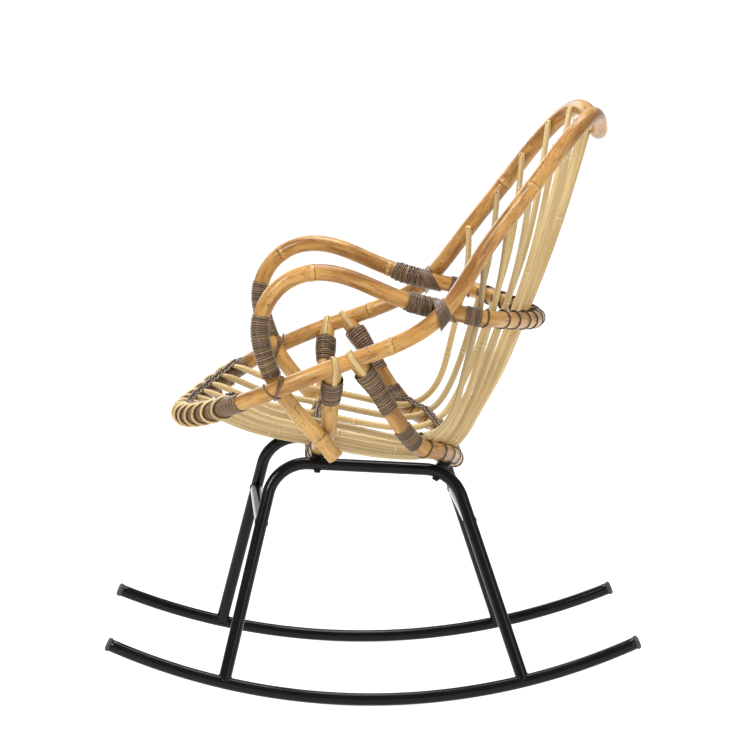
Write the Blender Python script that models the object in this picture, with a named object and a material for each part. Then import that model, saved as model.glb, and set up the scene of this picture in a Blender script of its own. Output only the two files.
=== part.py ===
"""Rattan rocking chair: a bucket shell of bent poles and split canes on a splayed steel rocker base.

Units are metres. X runs across the chair, -Y is its front, +Z is up, and the floor is z = 0 under
the middle of the runners. Centre lines are worked out in the order in which the maker bends and
ties them: main hoop, canes, seat supports, arm hoop, steel base, and last the peel bindings.
"""

import math

import bmesh
import bpy
import numpy as np

# Gaps between pieces
CLEARANCE = 0.0003
SEAT_GAP = 0.0005

# Rattan poles and canes
POLE_DIAMETER = 0.025
CANE_DIAMETER = 0.0103
CANES_PER_SIDE = 6
CANE_DRIFT = 0.042
CANE_TOP_OVERHANG = 0.003
CANE_HOOK_END = math.radians(292)
HOOK_SHAVE = 0.5
FRONT_CANE_REACH = 0.190
SEAT_CANE_REACH = 0.198
BACK_CANE_REACH = 0.203
TOP_CANE_HEIGHT = 0.6855
SHELL_ROUNDNESS = 1.7

# Main hoop, from the middle of the front edge round one side to the middle of the top
HOOP_STATIONS = (
    (0.0, -0.2865, 0.4085),
    (0.095, -0.2665, 0.4170),
    (0.188, -0.2225, 0.4395),
    (0.243, -0.179, 0.4610),
    (0.271, -0.129, 0.4835),
    (0.2765, -0.054, 0.5135),
    (0.2735, 0.021, 0.5405),
    (0.262, 0.084, 0.5740),
    (0.238, 0.123, 0.6160),
    (0.206, 0.165, 0.6770),
    (0.195, 0.222, 0.7510),
    (0.177, 0.278, 0.8240),
    (0.147, 0.313, 0.8610),
    (0.095, 0.335, 0.8690),
    (0.0, 0.349, 0.8405),
)

# Side view of the seat and back, as (y, z): along the middle cane, and along the outermost one
MIDDLE_PROFILE = (
    (-0.200, 0.3890),
    (-0.091, 0.3630),
    (-0.014, 0.3475),
    (0.047, 0.3410),
    (0.090, 0.3430),
    (0.136, 0.3640),
    (0.1635, 0.4050),
    (0.1985, 0.4665),
    (0.2284, 0.5365),
    (0.2743, 0.6525),
)
EDGE_PROFILE = (
    (-0.165, 0.4395),
    (-0.085, 0.4205),
    (-0.014, 0.4060),
    (0.040, 0.3945),
    (0.070, 0.3940),
    (0.100, 0.4095),
    (0.118, 0.4355),
    (0.132, 0.4815),
    (0.1455, 0.5375),
    (0.1620, 0.6255),
)
SEAT_ROWS = 5

# Where the seat supports run
FRONT_SUPPORT_Y = -0.082
FRONT_EDGE_Y = -0.066
FRONT_HANGER_Y = -0.060
REAR_SUPPORT_Y = 0.120
REAR_EDGE_Y = 0.072
REAR_HANGER_Y = -0.030
ROW_SWEEP = 3.0
POST_STRAIGHT = 0.050

# Arm hoop: its joint on the upright above the rear hanger, where it rests on the rail and the front
# post, and how it runs from the joint
ARM_JOINT_RISE = 0.0675
BACK_HOOP_DROP = 0.028
ARM_RAIL_Y = -0.142
ARM_POST_DROP = 0.1175
ARM_TAIL = 0.022
ARM_FROM_JOINT = (
    (-0.0074, -0.2600, -0.0715),
    (-0.0064, -0.2690, -0.0235),
    (-0.0084, -0.2540, 0.0205),
    (-0.0104, -0.2200, 0.0495),
    (-0.0134, -0.1680, 0.0565),
    (-0.0154, -0.1110, 0.0385),
    (-0.0164, -0.0630, 0.0180),
)

# Steel base
TUBE_DIAMETER = 0.019
TUBE_WALL = 0.0015
ROCKER_RADIUS = 0.970
ROCKER_REACH = 0.391
ROCKER_SPREAD = 0.2445
ROCKER_LEAN = math.radians(13.5)
ROCKER_SEGMENTS = 13
FRONT_FOOT_Y = -0.223
REAR_FOOT_Y = 0.2235
LEG_TOP_SPREAD = 0.1310
LEG_BEND_RADIUS = 0.060
FRONT_OVERHANG = 0.064
REAR_OVERHANG = 0.006
LEG_STAGGER = 0.008
CROSS_BAR_HEIGHT = 0.2635
CAP_DIAMETER = 0.021
CAP_HEAD = 0.006
CAP_SPIGOT = 0.014
CAP_DOME = 0.0025
SADDLE_THICKNESS = 0.0025
REAR_SADDLE_PACKING = -0.001
SADDLE_WIDTH = 0.014
SADDLE_DEPTH = 0.020
SADDLE_FOOT = 0.4
BOLT_DIAMETER = 0.006
BOLT_HEAD_WIDTH = 0.011
BOLT_HEAD_HEIGHT = 0.004
BOLT_SEAT_ROOM = 0.0008
BOLT_GRIP_IN_POLE = 0.019

# Peel bindings, straps and ties
PEEL_WIDTH = 0.0070
PEEL_THICKNESS = 0.0010
PEEL_GAP = 0.0009
EDGE_PEEL_WIDTH = 0.0205
EDGE_BINDING_REACH = 0.222
STRAND_DIAMETER = 0.0018
TIE_PITCH = 0.0042
LASHING_PEEL_WIDTH = 0.0045
LASHING_PITCH = 0.0058
ARM_WRAP_LENGTH = 0.0900
JOINT_WRAP_LENGTH = 0.036
JOINT_LASHING_TURNS = 3
JOINT_LASHING_ROOM = 0.008
RAIL_TIE_ROOM = 0.007
RAIL_TIE_TURNS = 2
HOOP_WRAP_LENGTH = 0.019
FRONT_WRAP_LENGTH = 0.040
REAR_WRAP_LENGTH = 0.074
LOWER_WRAP_LENGTH = 0.022
TWINE_LEAD = 0.010
TWINE_TAIL = 0.016
LASHING_SHOULDER = math.radians(30)
LASHING_SLANT = 1.5
LASHING_TUCK = 0.67
STRAP_WIDTH = 0.008
STRAP_THICKNESS = 0.0016
STRAP_TUCK = 0.016
STRAP_STEPS = 10

# Facets
POLE_SIDES = 8
CANE_SIDES = 5
TUBE_SIDES = 8
BOLT_SIDES = 6
WRAP_POINTS = 8
EDGE_POINTS = 10
TIE_POINTS = 10
LASHING_POINTS = 8
STRAND_SIDES = 3
TWINE_POINTS = 6
BEND_SEGMENTS = 4
POLE_TURN = math.radians(14)
EDGE_TURN = math.radians(6)
HOOK_TURN = math.radians(32)
POLE_STEP = 0.075
CANE_TURN = math.radians(20)
CANE_STEP = 0.100
SPLINE_STEPS = 24
SHARP_ANGLE = math.radians(50)

# How contacts between two bent pieces are found
REST_ROUNDS = 4
CONTACT_REACH = 0.030
CONTACT_SAMPLES = 61
AIM_REACH = 0.006

POLE_RADIUS = POLE_DIAMETER / 2
CANE_RADIUS = CANE_DIAMETER / 2
TUBE_RADIUS = TUBE_DIAMETER / 2
BORE_RADIUS = TUBE_RADIUS - TUBE_WALL
BOLT_RADIUS = BOLT_DIAMETER / 2
STRAND_RADIUS = STRAND_DIAMETER / 2
POST_END = POLE_RADIUS / 2
POLE_ON_POLE = POLE_DIAMETER + SEAT_GAP
CANE_ON_POLE = POLE_RADIUS + CANE_RADIUS + SEAT_GAP
ACROSS = np.array((1.0, 0.0, 0.0))
AHEAD = np.array((0.0, 1.0, 0.0))
UPWARD = np.array((0.0, 0.0, 1.0))
MIRROR = np.array((-1.0, 1.0, 1.0))
SHELL_MIDDLE = np.array((0.0, 0.0, 0.600))
SIDES = (("left", 1.0), ("right", -1.0))


def unit(vector):
    """The vector at length one."""
    return vector / np.linalg.norm(vector)


def square_to(vector, axis):
    """The part of a vector that is square to an axis, at length one."""
    return unit(vector - axis * (vector @ axis))


def mirrored(points):
    """The points on the chair's other side, in reverse order."""
    return (np.asarray(points) * MIRROR)[::-1]


class Path:
    """A centre line as a chain of straight runs, measured by its length from the first point."""

    def __init__(self, points, closed=False):
        self.points = np.asarray(points, float)
        self.closed = closed
        self.chain = np.vstack([self.points, self.points[:1]]) if closed else self.points
        self.runs = np.diff(self.chain, axis=0)
        self.marks = np.concatenate([[0.0], np.cumsum(np.linalg.norm(self.runs, axis=1))])
        self.length = self.marks[-1]

    def at(self, distance):
        """The point at a distance along the chain; an open chain runs on straight past its ends."""
        if self.closed:
            distance = distance % self.length
        k = int(np.clip(np.searchsorted(self.marks, distance) - 1, 0, len(self.runs) - 1))
        share = (distance - self.marks[k]) / (self.marks[k + 1] - self.marks[k])
        return self.chain[k] + self.runs[k] * share

    def direction(self, distance):
        """The way that the chain runs, averaged over a short reach."""
        return unit(self.at(distance + AIM_REACH) - self.at(distance - AIM_REACH))

    def nearest(self, point):
        """The distance along the chain at its closest approach to a point, and the gap there."""
        share = ((point - self.chain[:-1]) * self.runs).sum(1) / (self.runs**2).sum(1)
        feet = self.chain[:-1] + self.runs * np.clip(share, 0, 1)[:, None]
        gaps = np.linalg.norm(feet - point, axis=1)
        k = int(gaps.argmin())
        return self.marks[k] + np.linalg.norm(feet[k] - self.chain[k]), gaps[k]

    def cut(self, normal, point, first=0.0):
        """The first distance past a start at which the chain passes through a plane."""
        heights = (self.chain - point) @ normal
        for k in range(len(self.runs)):
            if heights[k] * heights[k + 1] <= 0 and heights[k] != heights[k + 1]:
                share = heights[k] / (heights[k] - heights[k + 1])
                mark = self.marks[k] + share * (self.marks[k + 1] - self.marks[k])
                if mark >= first:
                    return mark
        raise ValueError("the path misses the plane")

    def tangents(self):
        """The mean direction of the two runs that meet at each point."""
        runs = self.runs / np.linalg.norm(self.runs, axis=1)[:, None]
        if self.closed:
            before = np.roll(runs, 1, axis=0)
            after = runs
        else:
            before = np.vstack([runs[:1], runs])
            after = np.vstack([runs, runs[-1:]])
        mean = before + after
        return mean / np.linalg.norm(mean, axis=1)[:, None]


def spline(stations, closed=False):
    """Points along a cubic through the stations, with no jump in bend, SPLINE_STEPS for each span."""
    knots = np.asarray(stations, float)
    if closed:
        knots = np.vstack([knots, knots[:1]])
    count = len(knots)
    span = np.linalg.norm(np.diff(knots, axis=0), axis=1)
    slope = np.diff(knots, axis=0) / span[:, None]
    matrix = np.zeros((count, count))
    target = np.zeros((count, 3))
    for k in range(1, count - 1):
        matrix[k, k - 1 : k + 2] = span[k], 2 * (span[k - 1] + span[k]), span[k - 1]
        target[k] = 3 * (span[k] * slope[k - 1] + span[k - 1] * slope[k])
    if closed:
        matrix[0, [0, 1, -2]] = 2 * (span[-1] + span[0]), span[-1], span[0]
        target[0] = 3 * (span[0] * slope[-1] + span[-1] * slope[0])
        matrix[-1, [0, -1]] = 1, -1
    else:
        matrix[0, :2] = 2, 1
        target[0] = 3 * slope[0]
        matrix[-1, -2:] = 1, 2
        target[-1] = 3 * slope[-1]
    rates = np.linalg.solve(matrix, target)
    share = np.linspace(0, 1, SPLINE_STEPS, endpoint=False)[:, None]
    pieces = []
    for k in range(count - 1):
        lift = share**2 * (3 - 2 * share)
        leave = share * (1 - share) ** 2 * span[k]
        arrive = share**2 * (share - 1) * span[k]
        pieces.append(knots[k] * (1 - lift) + knots[k + 1] * lift + rates[k] * leave + rates[k + 1] * arrive)
    pieces.append(knots[-1:])
    return np.vstack(pieces)


def faceted(points, turn, step):
    """Fewer points on the same line: evenly many for each turn of the line and each step along it."""
    runs = np.diff(points, axis=0)
    lengths = np.linalg.norm(runs, axis=1)
    headings = runs / lengths[:, None]
    bends = np.arccos(np.clip((headings[1:] * headings[:-1]).sum(1), -1, 1))
    cost = lengths / step + np.concatenate([[0.0], bends]) / turn
    marks = np.concatenate([[0.0], np.cumsum(cost)])
    wanted = np.linspace(0, marks[-1], max(2, math.ceil(marks[-1])) + 1)
    return np.stack([np.interp(wanted, marks, points[:, k]) for k in range(3)], axis=1)


def rounded(corners, radius):
    """A chain with each inner corner replaced by an arc of the given radius."""
    points = [corners[0]]
    for before, corner, after in zip(corners, corners[1:], corners[2:]):
        back = unit(before - corner)
        forward = unit(after - corner)
        half_turn = (math.pi - math.acos(back @ forward)) / 2
        middle = corner + unit(back + forward) * radius / math.cos(half_turn)
        start = unit(corner + back * radius * math.tan(half_turn) - middle)
        side = square_to(forward - back, start)
        for k in range(BEND_SEGMENTS + 1):
            angle = 2 * half_turn * k / BEND_SEGMENTS
            points.append(middle + radius * (start * math.cos(angle) + side * math.sin(angle)))
    points.append(corners[-1])
    return np.array(points)


# Meshes and objects


def material(name, color, roughness, metallic=0.0):
    """A plain Principled finish."""
    made = bpy.data.materials.new(name)
    made.use_nodes = True
    shader = made.node_tree.nodes["Principled BSDF"]
    shader.inputs["Base Color"].default_value = (*color, 1.0)
    shader.inputs["Roughness"].default_value = roughness
    shader.inputs["Metallic"].default_value = metallic
    made.diffuse_color = (*color, 1.0)
    return made


def add_object(name, mesh_maker, finish, parent):
    """A smooth-shaded object from a bmesh, with its faces turned outwards."""
    bmesh.ops.recalc_face_normals(mesh_maker, faces=mesh_maker.faces)
    mesh = bpy.data.meshes.new(name)
    mesh_maker.to_mesh(mesh)
    mesh_maker.free()
    mesh.shade_smooth()
    mesh.set_sharp_from_angle(angle=SHARP_ANGLE)
    made = bpy.data.objects.new(name, mesh)
    bpy.context.scene.collection.objects.link(made)
    made.parent = parent
    if finish:
        mesh.materials.append(finish)
    return made


def polygon(radius, sides, start=0.0):
    """A regular profile as (side, normal) pairs, its first corner on the normal when start is 0."""
    angles = start + 2 * math.pi * np.arange(sides) / sides
    return np.stack([np.sin(angles), np.cos(angles)], axis=1) * radius


def rectangle(width, thickness):
    """A flat strip's profile."""
    corners = ((-0.5, -0.5), (0.5, -0.5), (0.5, 0.5), (-0.5, 0.5))
    return np.array(corners) * (width, thickness)


def ring_points(path, normals, profile):
    """The profile set square to the path at each of its points."""
    tangents = path.tangents()
    rings = []
    for point, tangent, normal in zip(path.points, tangents, normals):
        up = square_to(normal, tangent)
        side = np.cross(tangent, up)
        rings.append(point + profile[:, :1] * side + profile[:, 1:] * up)
    return np.array(rings)


def add_rings(mesh_maker, rings, closed):
    """Rings of corners, each joined to the next by quads."""
    corners = [[mesh_maker.verts.new(corner) for corner in ring] for ring in rings]
    pairs = list(zip(corners, corners[1:]))
    if closed:
        pairs.append((corners[-1], corners[0]))
    for first, second in pairs:
        for k in range(len(first)):
            j = (k + 1) % len(first)
            mesh_maker.faces.new((first[k], first[j], second[j], second[k]))
    return corners


def bar_mesh(rings, closed=False):
    """A solid bar through rings of corners, with flat ends."""
    mesh_maker = bmesh.new()
    corners = add_rings(mesh_maker, rings, closed)
    if not closed:
        mesh_maker.faces.new(corners[0])
        mesh_maker.faces.new(corners[-1])
    return mesh_maker


def pipe_mesh(outer, inner):
    """A tube open at both ends, from its outer and inner rings."""
    mesh_maker = bmesh.new()
    skin = add_rings(mesh_maker, outer, False)
    bore = add_rings(mesh_maker, inner, False)
    for end in (0, -1):
        for k in range(len(skin[end])):
            j = (k + 1) % len(skin[end])
            mesh_maker.faces.new((skin[end][k], skin[end][j], bore[end][j], bore[end][k]))
    return mesh_maker


def towards(path, point):
    """For each point of a path, the way to a fixed point."""
    return point - path.points


def add_bar(name, path, normals, profile, finish, parent):
    """A solid bar with one profile all along its path."""
    rings = ring_points(path, normals, profile)
    return add_object(name, bar_mesh(rings, path.closed), finish, parent)


def add_cutter(name, path, normals, radius, sides, parent, start=0.0):
    """A hidden bar that other pieces are cut by."""
    made = add_bar(name, path, normals, polygon(radius, sides, start), None, parent)
    made.hide_render = True
    made.display_type = "WIRE"
    return made


def cut_by(made, *cutters):
    """Cuts an object by each cutter."""
    for cutter in cutters:
        modifier = made.modifiers.new("cut_" + cutter.name, "BOOLEAN")
        modifier.operation = "DIFFERENCE"
        modifier.solver = "EXACT"
        modifier.object = cutter


# Centre lines of the rattan shell


def main_hoop_path():
    """The closed hoop: front edge, rails, uprights and top, the same on both sides."""
    half = np.array(HOOP_STATIONS)
    line = spline(np.vstack([half, mirrored(half[1:-1])]), closed=True)
    line = line[: (len(half) - 1) * SPLINE_STEPS + 1]
    bound = np.argmax(line[:, 0] > EDGE_BINDING_REACH + EDGE_PEEL_WIDTH)
    edge = faceted(line[: bound + 1], EDGE_TURN, POLE_STEP)
    rings = np.vstack([edge, faceted(line[bound:], POLE_TURN, POLE_STEP)[1:]])
    return Path(np.vstack([rings, mirrored(rings[1:-1])]), closed=True)


def hoop_front(hoop):
    """The front edge of the hoop as an open path from the right to the left."""
    bound = np.argmax(hoop.points[:, 0] > EDGE_BINDING_REACH + EDGE_PEEL_WIDTH)
    half = hoop.points[: bound + 1]
    return Path(np.vstack([mirrored(half[1:]), half]))


def around(axis, way):
    """How much further than its radius a slanted bar reaches in one direction of a cutting plane."""
    return 1 / math.sqrt(1 - (axis @ way) ** 2)


def wrap_radius(radius, thickness, points):
    """Distance from a bar's middle to the middle of a strip's corners, with its flats just clear."""
    return (radius + CLEARANCE) / math.cos(math.pi / points) + thickness / 2


def edge_bar_radius():
    """The front pole's radius with room for its bend under the width of the edge binding."""
    return POLE_RADIUS + EDGE_PEEL_WIDTH / 2 * math.tan(EDGE_TURN / 2)


def hook_points(edge, seat):
    """The bend of a cane over the front edge, from its tail underneath to where it leaves the top."""
    binding = wrap_radius(edge_bar_radius(), PEEL_THICKNESS, EDGE_POINTS) + PEEL_THICKNESS / 2
    hook_radius = (binding + SEAT_GAP + CANE_RADIUS * HOOK_SHAVE) / math.cos(HOOK_TURN / 2)
    mark = edge.cut(ACROSS, seat * ACROSS)
    middle = edge.at(mark)
    pole = edge.direction(mark)
    back = unit((seat - middle) * (1, 1, 0))
    flat = np.array(((seat - middle) @ back, (seat - middle)[2]))
    leave = math.atan2(flat[1], flat[0]) + math.acos(hook_radius / np.linalg.norm(flat))
    count = math.ceil((CANE_HOOK_END - leave) / HOOK_TURN)
    points = []
    for angle in np.linspace(CANE_HOOK_END, leave, count + 1):
        way = back * math.cos(angle) + UPWARD * math.sin(angle)
        points.append(middle + way * hook_radius * around(pole, way))
    return points


def cane_path(share, hoop):
    """One cane: hook over the front edge, seat, bend, back, and its nailed end inside the hoop."""
    blend = share**SHELL_ROUNDNESS
    side_view = np.array(MIDDLE_PROFILE) * (1 - blend) + np.array(EDGE_PROFILE) * blend
    reach = np.full(len(side_view), BACK_CANE_REACH)
    reach[:SEAT_ROWS] = np.linspace(FRONT_CANE_REACH, SEAT_CANE_REACH, SEAT_ROWS)
    rows = np.column_stack([reach * share, side_view])
    hook = hook_points(hoop_front(hoop), rows[0])

    outermost = hoop.cut(UPWARD, UPWARD * TOP_CANE_HEIGHT)
    top = hoop.length / 2 + (outermost - hoop.length / 2) * share
    nail = hoop.at(top)
    inward = unit(np.cross(nail - rows[-2], hoop.direction(top)))
    inward *= -np.sign(inward @ (nail - SHELL_MIDDLE))
    rest = nail + inward * CANE_ON_POLE
    for _ in range(REST_ROUNDS):
        rise = unit(rest - rows[-1])
        run = spline([hook[-1], *rows, rest, rest + rise * CANE_TOP_OVERHANG])
        path = Path(np.vstack([hook[:-1], faceted(run, CANE_TURN, CANE_STEP)]))
        path.leave = path.marks[len(hook) - 1]
        rest = rest + inward * (CANE_ON_POLE - least_distance(path, path.length, hoop))
    return path


def add_cane(name, cane, finish, root):
    """A cane as a solid bar, shaved thinner round its hook."""
    normals = np.cross(cane.tangents(), ACROSS)
    rings = np.array(ring_points(cane, normals, polygon(CANE_RADIUS, CANE_SIDES)))
    sizes = np.where(cane.marks < cane.leave + CLEARANCE, HOOK_SHAVE, 1.0)
    middles = cane.points[:, None]
    add_object(name, bar_mesh(middles + (rings - middles) * sizes[:, None, None]), finish, root)


def least_distance(path, mark, other):
    """How near a path passes another one, within a short reach of a distance along it."""
    shifts = np.linspace(-CONTACT_REACH, CONTACT_REACH, CONTACT_SAMPLES)
    places = np.clip(mark + shifts, 0, path.length)
    return min(other.nearest(path.at(place))[1] for place in places)


def cane_shares():
    """Where the canes lie across the half width, from right to left: even steps that drift to the left."""
    even = np.linspace(-1, 1, 2 * CANES_PER_SIDE + 1)
    return even + CANE_DRIFT * (1 - even**2)


def all_canes(hoop):
    """The canes from right to left, those right of the middle worked out on the left and mirrored."""
    canes = []
    for share in cane_shares():
        cane = cane_path(abs(share), hoop)
        path = cane if share >= 0 else Path(cane.points * MIRROR)
        path.leave = cane.leave
        canes.append(path)
    return canes


def row_of_contacts(canes, marks, ends):
    """Middles of a pole that rests on each cane from outside; with each, the way out and the cane's way."""
    middles = [cane.at(mark) for cane, mark in zip(canes, marks)]
    line = [ends[0], *middles, ends[1]]
    contacts = []
    crossings = []
    for k, (cane, mark) in enumerate(zip(canes, marks)):
        row = unit(unit(line[k + 2] - line[k + 1]) + unit(line[k + 1] - line[k]))
        way = unit(np.cross(cane.direction(mark), row))
        way *= np.sign(way @ (middles[k] - SHELL_MIDDLE))
        contacts.append(middles[k] + way * CANE_ON_POLE)
        crossings.append((way, cane.direction(mark)))
    return np.array(contacts), crossings


class Support:
    """A bent U pole under the canes whose two posts end against the rails."""

    def __init__(self, hoop, canes, foot_y, edge_y, hanger_y):
        self.rail_mark = hoop.cut(AHEAD, AHEAD * hanger_y)
        self.rail = hoop.at(self.rail_mark)
        places = foot_y + (edge_y - foot_y) * np.abs(cane_shares()) ** ROW_SWEEP
        marks = [cane.cut(AHEAD, AHEAD * place) for cane, place in zip(canes, places)]
        row, self.crossings = row_of_contacts(canes, marks, (self.rail * MIRROR, self.rail))
        self.drop = unit(row[-1] - self.rail)
        straight = self.rail + self.drop * POST_STRAIGHT
        line = spline([straight * MIRROR, *row, straight])
        bend = faceted(line[-SPLINE_STEPS - 1 :], POLE_TURN, POLE_STEP)
        post = np.vstack([bend[1:], self.rail + self.drop * POST_END])
        self.path = Path(np.vstack([mirrored(post), row, post]))
        self.row_marks = self.path.marks[len(post) : len(post) + len(row)]


def arm_hoop_path(hoop, canes, front_support, rear_support):
    """The arm hoop, moved until it just rests on the rail, the upright and the front support's post."""
    joint_height = rear_support.rail[2] + ARM_JOINT_RISE
    joint = hoop.at(hoop.cut(UPWARD, UPWARD * joint_height))
    rail = hoop.at(hoop.cut(AHEAD, AHEAD * ARM_RAIL_Y))
    middle_cane = canes[CANES_PER_SIDE]
    back_height = UPWARD * (joint_height - BACK_HOOP_DROP)
    back = middle_cane.at(middle_cane.cut(UPWARD, back_height, middle_cane.length / 2))
    normal = unit(np.cross(ACROSS, (joint - back) * (0, 1, 1)))
    marks = [cane.cut(normal, back, cane.length / 2) for cane in canes]
    inside = joint - ACROSS * POLE_ON_POLE
    row, crossings = row_of_contacts(canes, marks, (inside * MIRROR, inside))

    post_path = front_support.path
    post = post_path.at(post_path.length - ARM_POST_DROP)
    arm = joint + np.array(ARM_FROM_JOINT)
    meets = {
        1: [post, ACROSS - UPWARD, post_path],
        2: [rail, -ACROSS, hoop],
        len(arm) + 3: [joint, -ACROSS, hoop],
    }
    tail = post + unit(post - rail) * ARM_TAIL
    stations = [tail, post, rail, *arm, joint]
    for k, meet in meets.items():
        meet[1] = square_to(meet[1], unit([*stations, row[-1]][k + 1] - stations[k - 1]))
        stations[k] = meet[0] + meet[1] * POLE_ON_POLE
    for _ in range(2 * REST_ROUNDS):
        stations[0] = stations[1] + unit(stations[1] - stations[2]) * ARM_TAIL
        line = spline([*stations, *row[::-1], *mirrored(stations)])
        bend = faceted(line[: len(stations) * SPLINE_STEPS + 1], POLE_TURN, POLE_STEP)
        path = Path(np.vstack([bend, row[-2:0:-1], mirrored(bend)]))
        for k, (_, way, other) in meets.items():
            gap = least_distance(path, path.nearest(stations[k])[0], other)
            stations[k] = stations[k] + way * (POLE_ON_POLE - gap)
    row_marks = [path.nearest(middle)[0] for middle in row]
    return path, joint, rail, np.array(row_marks), crossings


# Rattan pieces


def build_shell(root, finishes):
    """Poles, canes and straps; returns their centre lines for the base and the bindings."""
    hoop = main_hoop_path()
    canes = all_canes(hoop)
    front = Support(hoop, canes, FRONT_SUPPORT_Y, FRONT_EDGE_Y, FRONT_HANGER_Y)
    rear = Support(hoop, canes, REAR_SUPPORT_Y, REAR_EDGE_Y, REAR_HANGER_Y)
    arm, joint, rail, back_marks, back_crossings = arm_hoop_path(hoop, canes, front, rear)

    pole = polygon(POLE_RADIUS, POLE_SIDES)
    add_bar("main_hoop", hoop, towards(hoop, SHELL_MIDDLE), pole, finishes["pole"], root)
    add_bar("arm_hoop", arm, towards(arm, SHELL_MIDDLE), pole, finishes["pole"], root)
    cope_radius = POLE_RADIUS + SEAT_GAP / math.cos(math.pi / POLE_SIDES)
    hoop_ways = towards(hoop, SHELL_MIDDLE)
    cope = add_cutter("rail_cutter", hoop, hoop_ways, cope_radius, POLE_SIDES, root)
    supports = {}
    for name, support in (("front", front), ("rear", rear)):
        ways = towards(support.path, SHELL_MIDDLE)
        supports[name] = add_bar(
            f"{name}_seat_support", support.path, ways, pole, finishes["pole"], root
        )
        cut_by(supports[name], cope)
        for side, sign in SIDES:
            add_strap(f"{side}_{name}_strap", hoop, support, sign, finishes["cane"], root)
    for k, cane in enumerate(canes):
        add_cane(f"seat_cane_{k + 1:02d}", cane, finishes["cane"], root)
    return {
        "hoop": hoop,
        "canes": canes,
        "front": front,
        "rear": rear,
        "arm": arm,
        "joint": joint,
        "rail": rail,
        "back_marks": back_marks,
        "back_crossings": back_crossings,
        "supports": supports,
    }


def add_strap(name, hoop, support, sign, finish, root):
    """A strip over the rail, with both ends lying along the post below it."""
    rail_way = hoop.direction(support.rail_mark)
    beside = unit(np.cross(rail_way, support.drop))
    across = np.cross(support.drop, beside)
    square = abs(rail_way @ across)
    reach = POLE_RADIUS + SEAT_GAP + STRAP_THICKNESS / 2
    tilt_room = STRAP_WIDTH / 2 * math.sqrt(1 - square**2) / square
    stretch = 1 / math.cos(math.pi / STRAP_STEPS / 2)
    tuck = POLE_RADIUS + SEAT_GAP + STRAP_TUCK
    flat = [(reach, tuck), (reach, 0.0)]
    for k in range(1, STRAP_STEPS):
        angle = math.pi * k / STRAP_STEPS
        rise = (reach / square + tilt_room) * math.sin(angle)
        flat.append((reach * stretch * math.cos(angle), -rise * stretch))
    flat += [(-reach, 0.0), (-reach, tuck)]
    points = []
    normals = []
    for sideways, down in flat:
        points.append(support.rail + beside * sideways + support.drop * down)
        normals.append(beside * sideways + support.drop * min(down, 0.0))
    flip = np.array((sign, 1.0, 1.0))
    path = Path(np.array(points) * flip)
    profile = rectangle(STRAP_WIDTH, STRAP_THICKNESS)
    add_bar(name, path, np.array(normals) * flip, profile, finish, root)


# Steel base


def rocker_path(sign):
    """A runner: an arc of short straight runs that leans inwards, the middle run flat on the floor."""
    swing = math.asin(ROCKER_REACH / ROCKER_RADIUS)
    angles = np.linspace(-swing, swing, ROCKER_SEGMENTS + 1)
    rise = -ROCKER_RADIUS * np.cos(angles)
    rise -= rise.min()
    across = ROCKER_SPREAD - rise * math.sin(ROCKER_LEAN)
    heights = rise * math.cos(ROCKER_LEAN) + TUBE_RADIUS * math.cos(math.pi / TUBE_SIDES)
    return Path(np.column_stack([sign * across, ROCKER_RADIUS * np.sin(angles), heights]))


def saddle_seat(support, sign, packing):
    """Where a support pole crosses a leg frame: its middle there, the way down, and the tube's middle."""
    mark = support.path.cut(ACROSS, ACROSS * sign * LEG_TOP_SPREAD)
    pole = support.path.at(mark)
    down = unit(np.cross(support.path.direction(mark), AHEAD))
    down *= -np.sign(down[2])
    stand = POLE_RADIUS + TUBE_RADIUS + SADDLE_THICKNESS + 2 * CLEARANCE + packing
    return pole, down, pole + down * stand


def leg_frame_path(shell, rocker, sign):
    """A leg frame: foot, bend, top tube under both supports, bend, foot; the right one stands further forward."""
    front = saddle_seat(shell["front"], sign, 0.0)[2]
    rear = saddle_seat(shell["rear"], sign, REAR_SADDLE_PACKING)[2]
    along = unit(rear - front)
    forward = LEG_STAGGER if sign < 0 else 0.0
    corners = [
        rocker.at(rocker.cut(AHEAD, AHEAD * (FRONT_FOOT_Y - forward))),
        front - along * (FRONT_OVERHANG + forward),
        rear + along * (REAR_OVERHANG - forward),
        rocker.at(rocker.cut(AHEAD, AHEAD * (REAR_FOOT_Y - forward))),
    ]
    return Path(rounded(corners, LEG_BEND_RADIUS))


def add_tube(name, path, normals, finish, root):
    """A steel tube with a bore, a flat of its outside facing along the normals."""
    turn = math.pi / TUBE_SIDES
    outer = ring_points(path, normals, polygon(TUBE_RADIUS, TUBE_SIDES, turn))
    inner = ring_points(path, normals, polygon(BORE_RADIUS, TUBE_SIDES, turn))
    return add_object(name, pipe_mesh(outer, inner), finish, root)


def add_cap(name, end, way, finish, root):
    """A plug for a runner's end: spigot in the bore, and a head with a domed face."""
    spigot = BORE_RADIUS - CLEARANCE / math.cos(math.pi / TUBE_SIDES)
    head = CAP_DIAMETER / 2
    stages = (
        (-CAP_SPIGOT, spigot),
        (CLEARANCE, spigot),
        (CLEARANCE, head),
        (CAP_HEAD - CAP_DOME, head),
        (CAP_HEAD, head - CAP_DOME),
    )
    side = square_to(UPWARD, way)
    other = np.cross(way, side)
    rings = []
    for out, radius in stages:
        profile = polygon(radius, TUBE_SIDES, math.pi / TUBE_SIDES)
        rings.append(end + way * out + profile[:, :1] * other + profile[:, 1:] * side)
    add_object(name, bar_mesh(rings), finish, root)


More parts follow.
